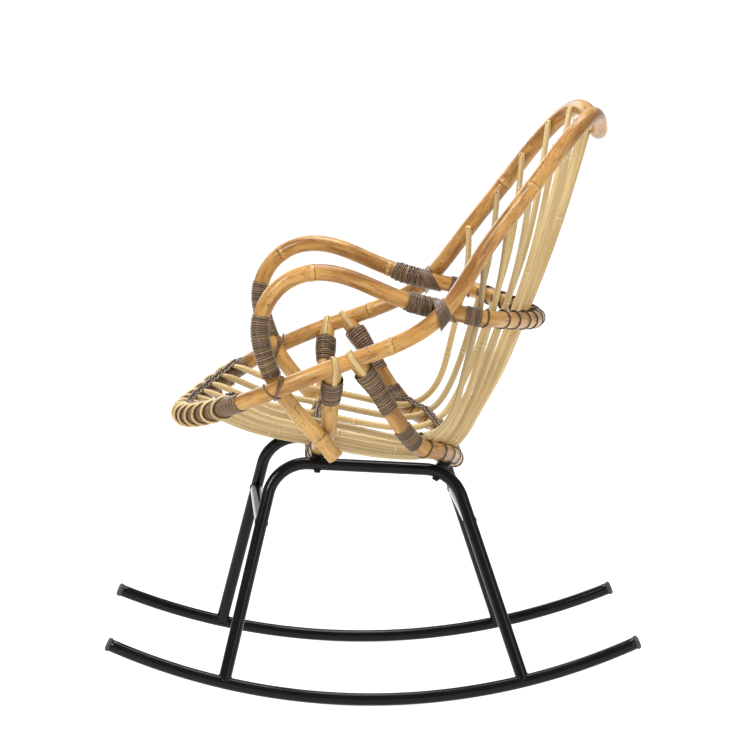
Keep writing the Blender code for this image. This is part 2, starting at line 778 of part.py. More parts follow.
def add_saddle(name, pole, tube, support_way, finish, root):
    """A block between a support pole and a leg frame, later hollowed to both."""
    up = unit(pole - tube)
    across = square_to(support_way, up)
    along = np.cross(up, across)
    mesh_maker = bmesh.new()
    bmesh.ops.create_cube(mesh_maker, size=1.0)
    foot = tube + up * TUBE_RADIUS * SADDLE_FOOT
    middle = (pole + foot) / 2
    height = np.linalg.norm(pole - foot)
    for vert in mesh_maker.verts:
        x, y, z = vert.co
        vert.co = middle + across * x * SADDLE_WIDTH + along * y * SADDLE_DEPTH + up * z * height
    return add_object(name, mesh_maker, finish, root)


def add_bolt(name, tube, up, depth, finish, root):
    """A hex-headed bolt from below the tube, and the hidden bar that drills its hole."""
    side = square_to(AHEAD, up)
    other = np.cross(up, side)
    seat = -TUBE_RADIUS - BOLT_SEAT_ROOM
    stages = (
        (seat - BOLT_HEAD_HEIGHT, BOLT_HEAD_WIDTH / 2),
        (seat, BOLT_HEAD_WIDTH / 2),
        (seat, BOLT_RADIUS),
        (depth, BOLT_RADIUS),
    )
    rings = []
    for out, radius in stages:
        profile = polygon(radius, BOLT_SIDES)
        rings.append(tube + up * out + profile[:, :1] * other + profile[:, 1:] * side)
    add_object(name, bar_mesh(rings), finish, root)
    hole = Path([tube + up * (seat - BOLT_HEAD_HEIGHT), tube + up * (depth + CLEARANCE)])
    radius = BOLT_RADIUS + CLEARANCE / math.cos(math.pi / BOLT_SIDES)
    return add_cutter(name + "_hole", hole, [side, side], radius, BOLT_SIDES, root)


def build_base(shell, root, finishes):
    """Runners, leg frames, cross bars, caps, saddles and bolts."""
    turn = math.pi / TUBE_SIDES
    cut_radius = TUBE_RADIUS + CLEARANCE / math.cos(turn)
    pole_cut_radius = POLE_RADIUS + CLEARANCE / math.cos(math.pi / POLE_SIDES)
    pole_cutters = {}
    for name, support in (("front", shell["front"]), ("rear", shell["rear"])):
        ways = towards(support.path, SHELL_MIDDLE)
        pole_cutters[name] = add_cutter(
            f"{name}_pole_cutter", support.path, ways, pole_cut_radius, POLE_SIDES, root
        )
    leg_paths = {}
    leg_cutters = []
    for side, sign in SIDES:
        rocker = rocker_path(sign)
        upright = np.tile(UPWARD, (len(rocker.points), 1))
        add_tube(f"{side}_rocker", rocker, upright, finishes["steel"], root)
        add_cap(f"{side}_front_cap", rocker.points[0], unit(-rocker.runs[0]), finishes["cap"], root)
        add_cap(f"{side}_rear_cap", rocker.points[-1], unit(rocker.runs[-1]), finishes["cap"], root)
        rocker_cutter = add_cutter(
            f"{side}_rocker_cutter", rocker, upright, cut_radius, TUBE_SIDES, root, turn
        )
        leg = leg_frame_path(shell, rocker, sign)
        sideways = np.tile(ACROSS, (len(leg.points), 1))
        frame = add_tube(f"{side}_leg_frame", leg, sideways, finishes["steel"], root)
        leg_cutter = add_cutter(f"{side}_leg_cutter", leg, sideways, cut_radius, TUBE_SIDES, root, turn)
        cut_by(frame, rocker_cutter)
        for name, packing in (("front", 0.0), ("rear", REAR_SADDLE_PACKING)):
            support = shell[name]
            pole = saddle_seat(support, sign, packing)[0]
            mark = leg.nearest(pole)[0]
            tube = leg.at(mark)
            up = unit(pole - tube)
            depth = np.linalg.norm(pole - tube) - POLE_RADIUS + BOLT_GRIP_IN_POLE
            hole = add_bolt(f"{side}_{name}_bolt", tube, up, depth, finishes["bolt"], root)
            way = support.path.direction(support.path.nearest(pole)[0])
            saddle = add_saddle(f"{side}_{name}_saddle", pole, tube, way, finishes["steel"], root)
            cut_by(saddle, pole_cutters[name], leg_cutter, hole)
            cut_by(frame, hole)
            cut_by(shell["supports"][name], hole)
        leg_paths[side] = leg
        leg_cutters.append(leg_cutter)
    add_cross_bars(leg_paths, leg_cutters, root, finishes["steel"])


def add_cross_bars(leg_paths, leg_cutters, root, finish):
    """Straight tubes between the leg frames, their ends shaped to the legs."""
    for name, first in (("front_cross_bar", 0.0), ("rear_cross_bar", 0.5)):
        ends = []
        for leg in leg_paths.values():
            ends.append(leg.at(leg.cut(UPWARD, UPWARD * CROSS_BAR_HEIGHT, leg.length * first)))
        bar = add_tube(name, Path(ends), [UPWARD, UPWARD], finish, root)
        cut_by(bar, *leg_cutters)


# Peel bindings


def least_gap(rings, points_per_turn):
    """The least distance between corners of a winding that lie more than half a turn apart."""
    corners = rings.reshape(-1, 3)
    turn = np.repeat(np.arange(len(rings)), rings.shape[1])
    apart = np.linalg.norm(corners[:, None] - corners[None], axis=2)
    apart[np.abs(turn[:, None] - turn[None]) <= points_per_turn / 2] = np.inf
    return apart.min()


def add_winding(name, points, normals, profile, points_per_turn, finish, root):
    """One unbroken strip or strand, with its least gap to itself printed."""
    path = Path(points)
    rings = ring_points(path, normals, profile)
    add_object(name, bar_mesh(rings), finish, root)
    loops = (len(points) - 1) / points_per_turn
    gap = least_gap(rings, points_per_turn) * 1000
    print(f"{name}: {loops:.1f} loops, least gap to itself {gap:.2f} mm")


def coil(path, start, stop, radius, turns, points_per_turn):
    """Points and outward ways of a helix round a pole, its flats set over the pole's corners."""
    count = round(turns * points_per_turn)
    points = []
    ways = []
    for k in range(count + 1):
        mark = start + (stop - start) * k / count
        angle = 2 * math.pi * (k + 0.5) / points_per_turn
        along = path.direction(mark)
        first = square_to(SHELL_MIDDLE - path.at(mark), along)
        way = first * math.cos(angle) + np.cross(along, first) * math.sin(angle)
        points.append(path.at(mark) + way * radius)
        ways.append(way)
    return np.array(points), np.array(ways)


def add_wraps(name, path, start, stop, bar_radius, peel, root):
    """A flat peel wound closely round a bar from one distance to another, on both sides of the chair."""
    turns = max(1, math.floor(abs(stop - start) / (PEEL_WIDTH + PEEL_GAP)))
    radius = wrap_radius(bar_radius, PEEL_THICKNESS, WRAP_POINTS)
    points, ways = coil(path, start, stop, radius, turns, WRAP_POINTS)
    profile = rectangle(PEEL_WIDTH, PEEL_THICKNESS)
    for side, sign in SIDES:
        flip = np.array((sign, 1.0, 1.0))
        add_winding(f"{side}_{name}", points * flip, ways * flip, profile, WRAP_POINTS, peel, root)


def oval(axis, normal, way):
    """How far a slanted bar of radius one reaches one way in a plane, and the point that does."""
    minor = unit(np.cross(normal, axis))
    major = np.cross(minor, normal)
    stretch = 1 / (axis @ normal) ** 2
    pull = minor * (way @ minor) + major * (way @ major) * stretch
    reach = math.sqrt(pull @ way)
    return reach, pull / reach


def loops_round_pair(pair, turns, pitch, width, thickness):
    """A helix pulled tight round two crossing bars, each given as its path and the distance along it."""
    middles = [path.at(mark) for path, mark in pair]
    axes = [path.direction(mark) for path, mark in pair]
    across = unit(middles[1] - middles[0])
    along = square_to(axes[0] + axes[1] * np.sign(axes[0] @ axes[1]), across)
    beside = np.cross(across, along)
    middle = (middles[0] + middles[1]) / 2
    half_step = math.cos(math.pi / TIE_POINTS)
    points = []
    ways = []
    for k in range(turns * TIE_POINTS + 1):
        angle = 2 * math.pi * k / TIE_POINTS
        shift = pitch * (k / TIE_POINTS - turns / 2)
        way = beside * math.cos(angle) + across * math.sin(angle)
        best = (0.0, middle)
        for path, mark in pair:
            place = plane_mark(path, mark, along, middle + along * shift)
            axis = path.direction(place)
            far, point = oval(axis, along, way)
            bulge = POLE_RADIUS / (axis @ along) ** 2 * (1 / half_step - 1)
            tilt = abs((axis @ way) / (axis @ along)) * width / 2
            room = bulge + tilt + (CLEARANCE + SEAT_GAP + thickness / 2) / half_step
            reach = (path.at(place) - middle) @ way + far * POLE_RADIUS + room
            if reach > best[0]:
                best = (reach, path.at(place) + point * POLE_RADIUS + way * room)
        points.append(best[1])
        ways.append(way)
    return np.array(points), np.array(ways)


def plane_mark(path, mark, normal, point):
    """The distance along a path, near a given one, at which it passes through a plane."""
    for _ in range(REST_ROUNDS):
        mark += ((point - path.at(mark)) @ normal) / (path.direction(mark) @ normal)
    return mark


def closest_pair(path, other, near):
    """Two paths where they pass closest near a point, each with its distance along it."""
    start = path.nearest(near)[0]
    shifts = np.linspace(-CONTACT_REACH, CONTACT_REACH, CONTACT_SAMPLES)
    gaps = [other.nearest(path.at(start + shift))[1] for shift in shifts]
    mark = start + shifts[int(np.argmin(gaps))]
    return (path, mark), (other, other.nearest(path.at(mark))[0])


def standoff(pair):
    """How far along the first bar of a pair a wrap on it must stop before the bar that crosses it."""
    (path, mark), (other, other_mark) = pair
    outside = wrap_radius(POLE_RADIUS, PEEL_THICKNESS, WRAP_POINTS) + PEEL_THICKNESS / 2
    clear = outside + POLE_RADIUS + SEAT_GAP
    apart = np.linalg.norm(path.at(mark) - other.at(other_mark))
    slant = np.linalg.norm(np.cross(path.direction(mark), other.direction(other_mark)))
    return math.sqrt(max(clear**2 - apart**2, 0)) / slant + PEEL_WIDTH


def cane_room():
    """How far from a cane's middle a lashing strand's corners pass over its back."""
    return (CANE_RADIUS + STRAND_RADIUS + SEAT_GAP) / math.cos(LASHING_SHOULDER)


def pole_room():
    """How far from a pole's middle a lashing strand's corners pass round it."""
    return (POLE_RADIUS + STRAND_RADIUS + CLEARANCE) / math.cos(math.pi / LASHING_POINTS)


def crossing_frame(path, mark, crossing):
    """Where a cane crosses a pole: the pole's way, the side and up ways, and the cane's slant."""
    way, cane_way = crossing
    along = path.direction(mark)
    up = square_to(-way, along)
    beside = np.cross(along, up)
    return along, beside, up, (cane_way @ along) / (cane_way @ beside)


def lashing_spread(path, mark, crossing):
    """How far along the pole from a cane's middle a lashing goes down each side of the pole."""
    slant = crossing_frame(path, mark, crossing)[3]
    return cane_room() * LASHING_SLANT * math.hypot(1, slant) - pole_room() * slant


def lashing_reach(path, mark, crossing):
    """The most that a lashing takes up on the pole to either side of an outermost cane."""
    slant = abs(crossing_frame(path, mark, crossing)[3])
    spread = cane_room() * LASHING_SLANT * math.hypot(1, slant) + pole_room() * slant
    return spread + STRAND_DIAMETER + PEEL_WIDTH


def add_lashing(name, path, marks, crossings, peel, root):
    """One strand with a crossing loop round the pole and each cane in turn, led on under the pole."""
    spreads = [lashing_spread(path, *place) for place in zip(marks, crossings)]
    low = pole_room()
    slope = low * math.cos(math.pi / 4)
    tuck = slope * LASHING_TUCK
    room = cane_room()
    high = CANE_ON_POLE + room * math.sin(LASHING_SHOULDER)
    points = []
    normals = []
    led_on = None
    for k, mark in enumerate(marks):
        along, beside, up, slant = crossing_frame(path, mark, crossings[k])
        aside = room * math.cos(LASHING_SHOULDER) * math.hypot(1, slant) - tuck * slant
        first = mark - spreads[k]
        last = mark + spreads[k]
        if k and (marks[k - 1] + mark) / 2 > path.length / 2:
            first = led_on
        if k + 1 < len(marks) and (marks[k + 1] + mark) / 2 <= path.length / 2:
            last = marks[k + 1] - spreads[k + 1]
        led_on = last
        over = []
        for shift, sideways, rise in (
            (-aside, tuck, high),
            (0.0, 0.0, CANE_ON_POLE + room),
            (aside, -tuck, high),
        ):
            out = beside * sideways + up * rise
            over.append((path.at(mark) + along * shift + out, out))
        before = ((first, slope, -slope), (first, low, 0.0))
        after = ((last, -low, 0.0), (last, -slope, -slope), (last, 0.0, -low))
        loop = round_pole(path, before, up) + over + round_pole(path, after, up)
        points += [point for point, _ in loop]
        normals += [out for _, out in loop]
    points = np.array(points[:-2])
    normals = np.array(normals[:-2])
    add_winding(name, points, normals, polygon(STRAND_RADIUS, STRAND_SIDES), LASHING_POINTS, peel, root)


def round_pole(path, places, upward):
    """Points beside a pole, each from its distance along the pole, its place sideways and its rise."""
    found = []
    for place, sideways, rise in places:
        along = path.direction(place)
        up = square_to(upward, along)
        out = np.cross(along, up) * sideways + up * rise
        found.append((path.at(place) + out, out))
    return found


def build_bindings(shell, root, finishes):
    """All the peel windings, ties and lashings of the shell."""
    peel = finishes["peel"]
    hoop = shell["hoop"]
    arm = shell["arm"]
    add_front_edge(hoop, peel, root)
    add_twine(hoop, shell["canes"], peel, root)

    joint_pair = closest_pair(arm, hoop, shell["joint"])
    rail_pair = closest_pair(arm, hoop, shell["rail"])
    wrap_start = rail_pair[0][1] + standoff(rail_pair) + RAIL_TIE_ROOM
    wrap_stop = wrap_start + ARM_WRAP_LENGTH
    add_wraps("arm_wrap", arm, wrap_start, wrap_stop, POLE_RADIUS, peel, root)
    joint_stop = joint_pair[0][1] - standoff(joint_pair) - JOINT_LASHING_ROOM
    joint_start = joint_stop - JOINT_WRAP_LENGTH
    add_wraps("joint_wrap", arm, joint_start, joint_stop, POLE_RADIUS, peel, root)
    back = shell["back_marks"][::-1], shell["back_crossings"][::-1]
    hoop_stop = back[0][0] - lashing_reach(arm, back[0][0], back[1][0])
    hoop_start = hoop_stop - HOOP_WRAP_LENGTH
    add_wraps("hoop_end_wrap", arm, hoop_start, hoop_stop, POLE_RADIUS, peel, root)
    add_pair_ties(joint_pair, rail_pair, peel, root)
    add_post_wraps(shell, peel, root)

    add_lashing("back_hoop_lashing", arm, *back, peel, root)
    front = shell["front"]
    inner = slice(1, -1)
    add_lashing(
        "front_support_lashing", front.path, front.row_marks[inner], front.crossings[inner], peel, root
    )
    rear = shell["rear"]
    add_lashing("rear_support_lashing", rear.path, rear.row_marks, rear.crossings, peel, root)


def add_front_edge(hoop, peel, root):
    """The binding of the front edge, under the canes' hooks."""
    edge = hoop_front(hoop)
    start = edge.cut(ACROSS, ACROSS * -EDGE_BINDING_REACH)
    stop = edge.cut(ACROSS, ACROSS * EDGE_BINDING_REACH)
    turns = math.floor((stop - start) / (EDGE_PEEL_WIDTH + 2 * PEEL_GAP))
    radius = wrap_radius(edge_bar_radius(), PEEL_THICKNESS, EDGE_POINTS)
    points, ways = coil(edge, start, stop, radius, turns, EDGE_POINTS)
    profile = rectangle(EDGE_PEEL_WIDTH, PEEL_THICKNESS)
    add_winding("front_edge_binding", points, ways, profile, EDGE_POINTS, peel, root)


def add_twine(hoop, canes, peel, root):
    """A strand along the top of the front edge: over each cane's hook, and down to the binding between."""
    edge = hoop_front(hoop)
    crossings = np.array([cane.at(cane.leave - TWINE_LEAD) for cane in canes])
    row = Path(crossings)
    room = CANE_RADIUS * HOOK_SHAVE / math.cos(math.pi / CANE_SIDES) + STRAND_RADIUS + CLEARANCE
    flank = CANE_RADIUS * HOOK_SHAVE * math.cos(LASHING_SHOULDER)
    binding = wrap_radius(edge_bar_radius(), PEEL_THICKNESS, EDGE_POINTS) + PEEL_THICKNESS / 2
    low = binding + STRAND_RADIUS + SEAT_GAP
    gaps = [row.at(-TWINE_TAIL), *(crossings[:-1] + crossings[1:]) / 2, row.at(row.length + TWINE_TAIL)]
    points = []
    for k, gap in enumerate(gaps):
        mark = edge.nearest(gap)[0]
        points.append(edge.at(mark) + square_to(gap - edge.at(mark), edge.direction(mark)) * low)
        if k < len(canes):
            heading = row.tangents()[k]
            mark = edge.nearest(crossings[k])[0]
            over = crossings[k] + square_to(crossings[k] - edge.at(mark), heading) * room
            points += [over - heading * flank, over + heading * flank]
    normals = np.tile(AHEAD, (len(points), 1))
    profile = polygon(STRAND_RADIUS, STRAND_SIDES)
    add_winding("front_twine", np.array(points), normals, profile, TWINE_POINTS, peel, root)


def add_pair_ties(joint_pair, rail_pair, peel, root):
    """The lashing round arm and upright, and the thin tie round arm and rail."""
    flat = rectangle(LASHING_PEEL_WIDTH, PEEL_THICKNESS)
    lashing = loops_round_pair(
        joint_pair, JOINT_LASHING_TURNS, LASHING_PITCH, LASHING_PEEL_WIDTH, PEEL_THICKNESS
    )
    strand = polygon(STRAND_RADIUS, STRAND_SIDES + 1)
    tie = loops_round_pair(rail_pair, RAIL_TIE_TURNS, TIE_PITCH, STRAND_DIAMETER, STRAND_DIAMETER)
    for side, sign in SIDES:
        flip = np.array((sign, 1.0, 1.0))
        for name, (points, ways), profile in (
            ("joint_lashing", lashing, flat),
            ("rail_tie", tie, strand),
        ):
            add_winding(f"{side}_{name}", points * flip, ways * flip, profile, TIE_POINTS, peel, root)


def add_post_wraps(shell, peel, root):
    """Wraps on the posts of both supports, the upper ones over the straps' ends."""
    over_strap = math.hypot(POLE_RADIUS + SEAT_GAP + STRAP_THICKNESS, STRAP_WIDTH / 2)
    outside = wrap_radius(over_strap, PEEL_THICKNESS, WRAP_POINTS) + PEEL_THICKNESS / 2
    for name, length in (("front", FRONT_WRAP_LENGTH), ("rear", REAR_WRAP_LENGTH)):
        support = shell[name]
        lean = abs(support.drop @ shell["hoop"].direction(support.rail_mark))
        below = POLE_RADIUS + SEAT_GAP + PEEL_WIDTH / 2 + outside * lean
        start = support.path.length + POST_END - below / math.sqrt(1 - lean**2)
        part = "post" if name == "front" else "post_upper"
        stop = start - length
        add_wraps(f"{name}_{part}_wrap", support.path, start, stop, over_strap, peel, root)
    rear = shell["rear"]
    start = rear.row_marks[-1] + lashing_reach(rear.path, rear.row_marks[-1], rear.crossings[-1])
    stop = start + LOWER_WRAP_LENGTH
    add_wraps("rear_post_lower_wrap", rear.path, start, stop, POLE_RADIUS, peel, root)


def main():
    """Clears the scene and builds the chair."""
    for old in list(bpy.data.objects):
        bpy.data.objects.remove(old)
    root = bpy.data.objects.new("rocking_chair", None)
    bpy.context.scene.collection.objects.link(root)
    finishes = {
        "pole": material("rattan_pole", (0.50, 0.25, 0.08), 0.38),
        "cane": material("pale_cane", (0.72, 0.55, 0.29), 0.5),
        "peel": material("brown_peel", (0.16, 0.10, 0.065), 0.55),
        "steel": material("black_steel", (0.012, 0.012, 0.013), 0.3, 0.4),
        "cap": material("grey_cap", (0.08, 0.08, 0.085), 0.6),
        "bolt": material("dark_bolt", (0.03, 0.03, 0.032), 0.4, 0.8),
    }
    shell = build_shell(root, finishes)
    build_base(shell, root, finishes)
    build_bindings(shell, root, finishes)


main()
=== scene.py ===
# %% [markdown]
# # A rattan rocking chair, dressed from its frame
#
# The chair is a bucket of bent rattan poles and split canes on a black steel rocker base. The frame
# already holds every solid in its place, in metres, with the front towards -Y and the floor at z = 0.
# This lesson gives each solid the surface that the eye expects: round poles with growth rings,
# straw-coloured canes, fine windings of brown peel, and painted tube with its welds.
# The frame is loaded first.

# %% Load the frame
import math

import bpy
import numpy as np
from mathutils import Matrix, Vector


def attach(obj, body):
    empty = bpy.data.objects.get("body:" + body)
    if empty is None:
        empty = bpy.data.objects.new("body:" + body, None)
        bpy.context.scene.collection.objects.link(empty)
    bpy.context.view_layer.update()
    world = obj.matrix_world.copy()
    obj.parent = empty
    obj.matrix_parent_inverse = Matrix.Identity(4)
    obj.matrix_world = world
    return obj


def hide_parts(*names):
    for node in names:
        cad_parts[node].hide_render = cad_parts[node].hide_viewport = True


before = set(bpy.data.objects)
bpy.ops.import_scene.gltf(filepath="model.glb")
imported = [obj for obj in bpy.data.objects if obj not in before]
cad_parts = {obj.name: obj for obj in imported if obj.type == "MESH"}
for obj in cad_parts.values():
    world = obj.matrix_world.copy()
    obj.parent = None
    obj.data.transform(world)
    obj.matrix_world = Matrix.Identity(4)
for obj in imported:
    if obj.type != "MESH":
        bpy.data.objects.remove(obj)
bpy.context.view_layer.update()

# %% [markdown]
# ## Centre lines
#
# Every piece of this chair is a bar that was steamed and bent, so one curve tells most of its story.
# A curve object could draw it, but then the windings could not ask it for points and directions.
# A cubic through a few stations, kept as a dense row of points with its running length, answers both.

# %% Points, directions and lengths along a bent bar
ACROSS, AHEAD, UP = np.eye(3)
SIDES = (("left", 1.0), ("right", -1.0))
SHELL_MIDDLE = np.array((0.0, 0.0, 0.600))


def unit(vectors):
    """Each vector divided by its own length."""
    return vectors / np.linalg.norm(vectors, axis=-1, keepdims=True)


def dot(first, second):
    """The product of two rows of vectors, kept as a column."""
    return (first * second).sum(-1, keepdims=True)


def square_to(vectors, axis):
    """Each vector less its share along the axis, at length one."""
    return unit(vectors - axis * dot(vectors, axis))


def around(first, second, angle):
    """The direction at each angle between two square ones: first cos a + second sin a."""
    angle = np.reshape(angle, (-1, 1))
    return first * np.cos(angle) + second * np.sin(angle)


def running_length(points):
    """The distance from the first point to each point, along the row."""
    steps = np.linalg.norm(np.diff(points, axis=0), axis=1)
    return np.concatenate([[0.0], np.cumsum(steps)])


class Line:
    """A centre line as a dense row of points, read by distance from its first point."""

    def __init__(self, points, closed=False):
        self.points = np.asarray(points, float)
        self.closed = closed
        self.marks = running_length(self.points)
        self.length = self.marks[-1]

    def at(self, place):
        """Points at the given distances, straight between neighbours in the row."""
        place = np.asarray(place, float)
        if self.closed:
            place = place % self.length
        return np.stack([np.interp(place, self.marks, column) for column in self.points.T], axis=-1)

    def way(self, place, reach=0.003):
        """Direction from a little before each distance to a little after it."""
        place = np.asarray(place, float)
        return unit(self.at(place + reach) - self.at(place - reach))

    def where(self, axis, value):
        """The first distance at which one coordinate takes a value."""
        height = self.points @ axis - value
        k = np.nonzero(height[:-1] * height[1:] <= 0)[0][0]
        rising = k + np.argsort(height[k : k + 2])
        return np.interp(0.0, height[rising], self.marks[rising])

    def nearest(self, point):
        """The distance along the line of its closest point to a given one."""
        return self.marks[np.linalg.norm(self.points - point, axis=1).argmin()]


def on_side(what, sign):
    """A line, a spot or a direction of the left side; where the sign is below zero, its mirror image."""
    flip = (sign, 1.0, 1.0)
    if isinstance(what, Line):
        return Line(what.points * flip, what.closed)
    return np.asarray(what) * flip


def spline(stations, closed=False, step=0.001):
    """Cubic through the stations with no jump in bend.

    On each span the point is the Hermite blend of its two ends and their slopes, and the slopes
    are the ones for which neighbouring spans bend equally where they meet.
    """
    knots = np.asarray(stations, float)
    if closed:
        knots = np.vstack([knots, knots[:1]])
    count = len(knots)
    span = np.linalg.norm(np.diff(knots, axis=0), axis=1)
    slope = np.diff(knots, axis=0) / span[:, None]
    matrix = np.zeros((count, count))
    target = np.zeros((count, 3))
    inner = np.arange(1, count - 1)
    matrix[inner, inner - 1] = span[1:]
    matrix[inner, inner] = 2 * (span[:-1] + span[1:])
    matrix[inner, inner + 1] = span[:-1]
    target[1:-1] = 3 * (span[1:, None] * slope[:-1] + span[:-1, None] * slope[1:])
    if closed:
        matrix[0, [0, 1, -2]] = 2 * (span[-1] + span[0]), span[-1], span[0]
        target[0] = 3 * (span[0] * slope[-1] + span[-1] * slope[0])
        matrix[-1, [0, -1]] = 1, -1
    else:
        matrix[0, :2] = 2, 1
        target[0] = 3 * slope[0]
        matrix[-1, -2:] = 1, 2
        target[-1] = 3 * slope[-1]
    rates = np.linalg.solve(matrix, target)
    marks = np.concatenate([[0.0], np.cumsum(span)])
    place = np.linspace(0, marks[-1], int(marks[-1] / step) + 1)
    k = np.clip(np.searchsorted(marks, place, "right") - 1, 0, count - 2)
    u = ((place - marks[k]) / span[k])[:, None]
    lift = u**2 * (3 - 2 * u)
    bend = rates[k] * u * (1 - u) ** 2 + rates[k + 1] * u**2 * (u - 1)
    return Line(knots[k] * (1 - lift) + knots[k + 1] * lift + bend * span[k][:, None], closed)


def half_and_mirror(half, closed=False):
    """Stations of one side, last one in the middle, carried on to the other side."""
    other = on_side(half, -1.0)[-2::-1]
    return spline(np.vstack([half, other[:-1] if closed else other]), closed)


# %% The shell's poles
POLE = 0.0125
HOOP_STATIONS = (
    (0.0, -0.2865, 0.4085), (0.095, -0.2665, 0.4170), (0.188, -0.2225, 0.4395), (0.243, -0.179, 0.4610),
    (0.271, -0.129, 0.4835), (0.2765, -0.054, 0.5135), (0.2735, 0.021, 0.5405), (0.262, 0.084, 0.5740),
    (0.238, 0.123, 0.6160), (0.206, 0.165, 0.6770), (0.195, 0.222, 0.7510), (0.177, 0.278, 0.8240),
    (0.147, 0.313, 0.8610), (0.095, 0.335, 0.8690), (0.0, 0.349, 0.8405),
)
ARM_STATIONS = (
    (0.2319, -0.0559, 0.3705), (0.2328, -0.0697, 0.3877), (0.2378, -0.1438, 0.4803),
    (0.2462, -0.1594, 0.5181), (0.2472, -0.1684, 0.5661), (0.2452, -0.1534, 0.6101),
    (0.2432, -0.1194, 0.6391), (0.2402, -0.0674, 0.6461), (0.2382, -0.0104, 0.6281),
    (0.2372, 0.0376, 0.6076), (0.2249, 0.0966, 0.5905), (0.2184, 0.1657, 0.5760),
    (0.1785, 0.1924, 0.5701), (0.1432, 0.2127, 0.5652), (0.1077, 0.2294, 0.5612),
    (0.0724, 0.2424, 0.5580), (0.0368, 0.2513, 0.5558), (0.0, 0.2554, 0.5548),
)
FRONT_SUPPORT_STATIONS = (
    (0.2756, -0.0601, 0.5099), (0.2486, -0.0635, 0.4696), (0.2034, -0.0692, 0.4023),
    (0.1677, -0.0761, 0.3861), (0.1347, -0.0807, 0.3730), (0.1015, -0.0835, 0.3618),
    (0.0682, -0.0850, 0.3527), (0.0345, -0.0855, 0.3463), (0.0, -0.0856, 0.3434),
)
REAR_SUPPORT_STATIONS = (
    (0.2751, -0.0290, 0.5208), (0.2582, -0.0022, 0.4844), (0.2101, 0.0738, 0.3812),
    (0.1744, 0.0990, 0.3713), (0.1406, 0.1132, 0.3633), (0.1062, 0.1227, 0.3549),
    (0.0711, 0.1269, 0.3467), (0.0358, 0.1290, 0.3409), (0.0, 0.1289, 0.3379),
)
hoop = half_and_mirror(HOOP_STATIONS, closed=True)
arm = half_and_mirror(ARM_STATIONS)
front_support = half_and_mirror(FRONT_SUPPORT_STATIONS)
rear_support = half_and_mirror(REAR_SUPPORT_STATIONS)
for title, pole_line in (("hoop", hoop), ("arm", arm), ("front", front_support), ("rear", rear_support)):
    print(title, "pole is", round(pole_line.length, 3), "m long")

# %% [markdown]
# ## The canes' lines
#
# Thirteen canes hook over the front edge, run along the seat, turn up the back and are nailed inside
# the top. Seen from the side, the middle cane and the outermost one are two known outlines, and the
# canes between them are blends of the two: the blend grows with a power of the share of the half
# width, which is what makes the seat a bucket and not a trough.

# %% The two ends of a cane
CANE = 0.00515
CANE_TAPER = 0.86
CANE_SINK = 0.0006
BINDING = 0.0142
HOOK_THIN, HOOK_WIDE = 0.42, 1.22
HOOK_END = math.radians(318)
HOOK_POINTS = 14
NAIL_TURN = 0.28


def hook(seat):
    """Bend over the front edge: middle + R (cos a back + sin a up), from the tail to where it leaves."""
    edge = hoop.where(ACROSS, seat[0])
    middle = hoop.at(edge)
    pole_way = hoop.way(edge)
    back = unit((seat - middle) * (1, 1, 0))
    flat = np.array((dot(seat - middle, back)[0], seat[2] - middle[2]))
    radius = BINDING + CANE * HOOK_THIN
    leave = math.atan2(flat[1], flat[0]) + math.acos(radius / np.linalg.norm(flat))
    way = around(back, UP, np.linspace(HOOK_END, leave, HOOK_POINTS))
    return middle + way * radius / np.sqrt(1 - dot(way, pole_way) ** 2)


def nailed_end(top, below):
    """Where a cane from below ends on the hoop's inner side, just touching it, and the way inward."""
    nail = hoop.at(top)
    inward = unit(np.cross(nail - below, hoop.way(top)))
    inward = -inward * np.sign(inward @ (nail - SHELL_MIDDLE))
    lower = np.cross(inward, hoop.way(top))
    lower = lower * np.sign(lower @ (below - nail))
    reach = POLE + CANE * CANE_TAPER - CANE_SINK
    return nail + around(inward, lower, NAIL_TURN)[0] * reach, inward


# %% Thirteen canes from two side views
CANE_COUNT = 13
MIDDLE_PROFILE = np.array((
    (-0.200, 0.3890), (-0.091, 0.3630), (-0.014, 0.3475), (0.047, 0.3410), (0.090, 0.3430),
    (0.136, 0.3640), (0.1635, 0.4050), (0.1985, 0.4665), (0.2284, 0.5365), (0.2743, 0.6525),
))
EDGE_PROFILE = np.array((
    (-0.165, 0.4395), (-0.085, 0.4205), (-0.014, 0.4060), (0.040, 0.3945), (0.070, 0.3940),
    (0.100, 0.4095), (0.118, 0.4355), (0.132, 0.4815), (0.1455, 0.5375), (0.1620, 0.6255),
))
CANE_REACH = np.array((0.190, 0.192, 0.194, 0.196, 0.198, 0.203, 0.203, 0.203, 0.203, 0.203))
SHELL_ROUNDNESS = 1.7
TOP_CANE_HEIGHT = 0.6855
CANE_DRIFT = 0.042
END_SHORT, MOST_SHORT = 0.0046, 0.020


def cane_line(share):
    """One cane: hook, the blend of the two side views, and the nailed end; right of the middle below zero.

    A cane that leans along the hoop stops short of its own line there, so its nail is set twice, the
    second time by the lean that the first one gave.
    """
    side = math.copysign(1.0, share)
    share = abs(share)
    blend = share**SHELL_ROUNDNESS
    side_view = MIDDLE_PROFILE * (1 - blend) + EDGE_PROFILE * blend
    rows = np.column_stack([CANE_REACH * share, side_view])
    outermost = hoop.where(UP, TOP_CANE_HEIGHT)
    top = hoop.length / 2 + (outermost - hoop.length / 2) * share
    rest, _ = nailed_end(top, rows[-2])
    lean = unit(rest - rows[-1]) @ hoop.way(top)
    short = min(END_SHORT / math.sqrt(1 - lean**2), MOST_SHORT)
    rest, inward = nailed_end(top - lean * short, rows[-2])
    bent = hook(rows[0])
    line = spline([*bent, *rows, rest])
    cane = on_side(line, side)
    cane.leave = line.nearest(bent[-1])
    cane.inward = on_side(inward, side)
    return cane


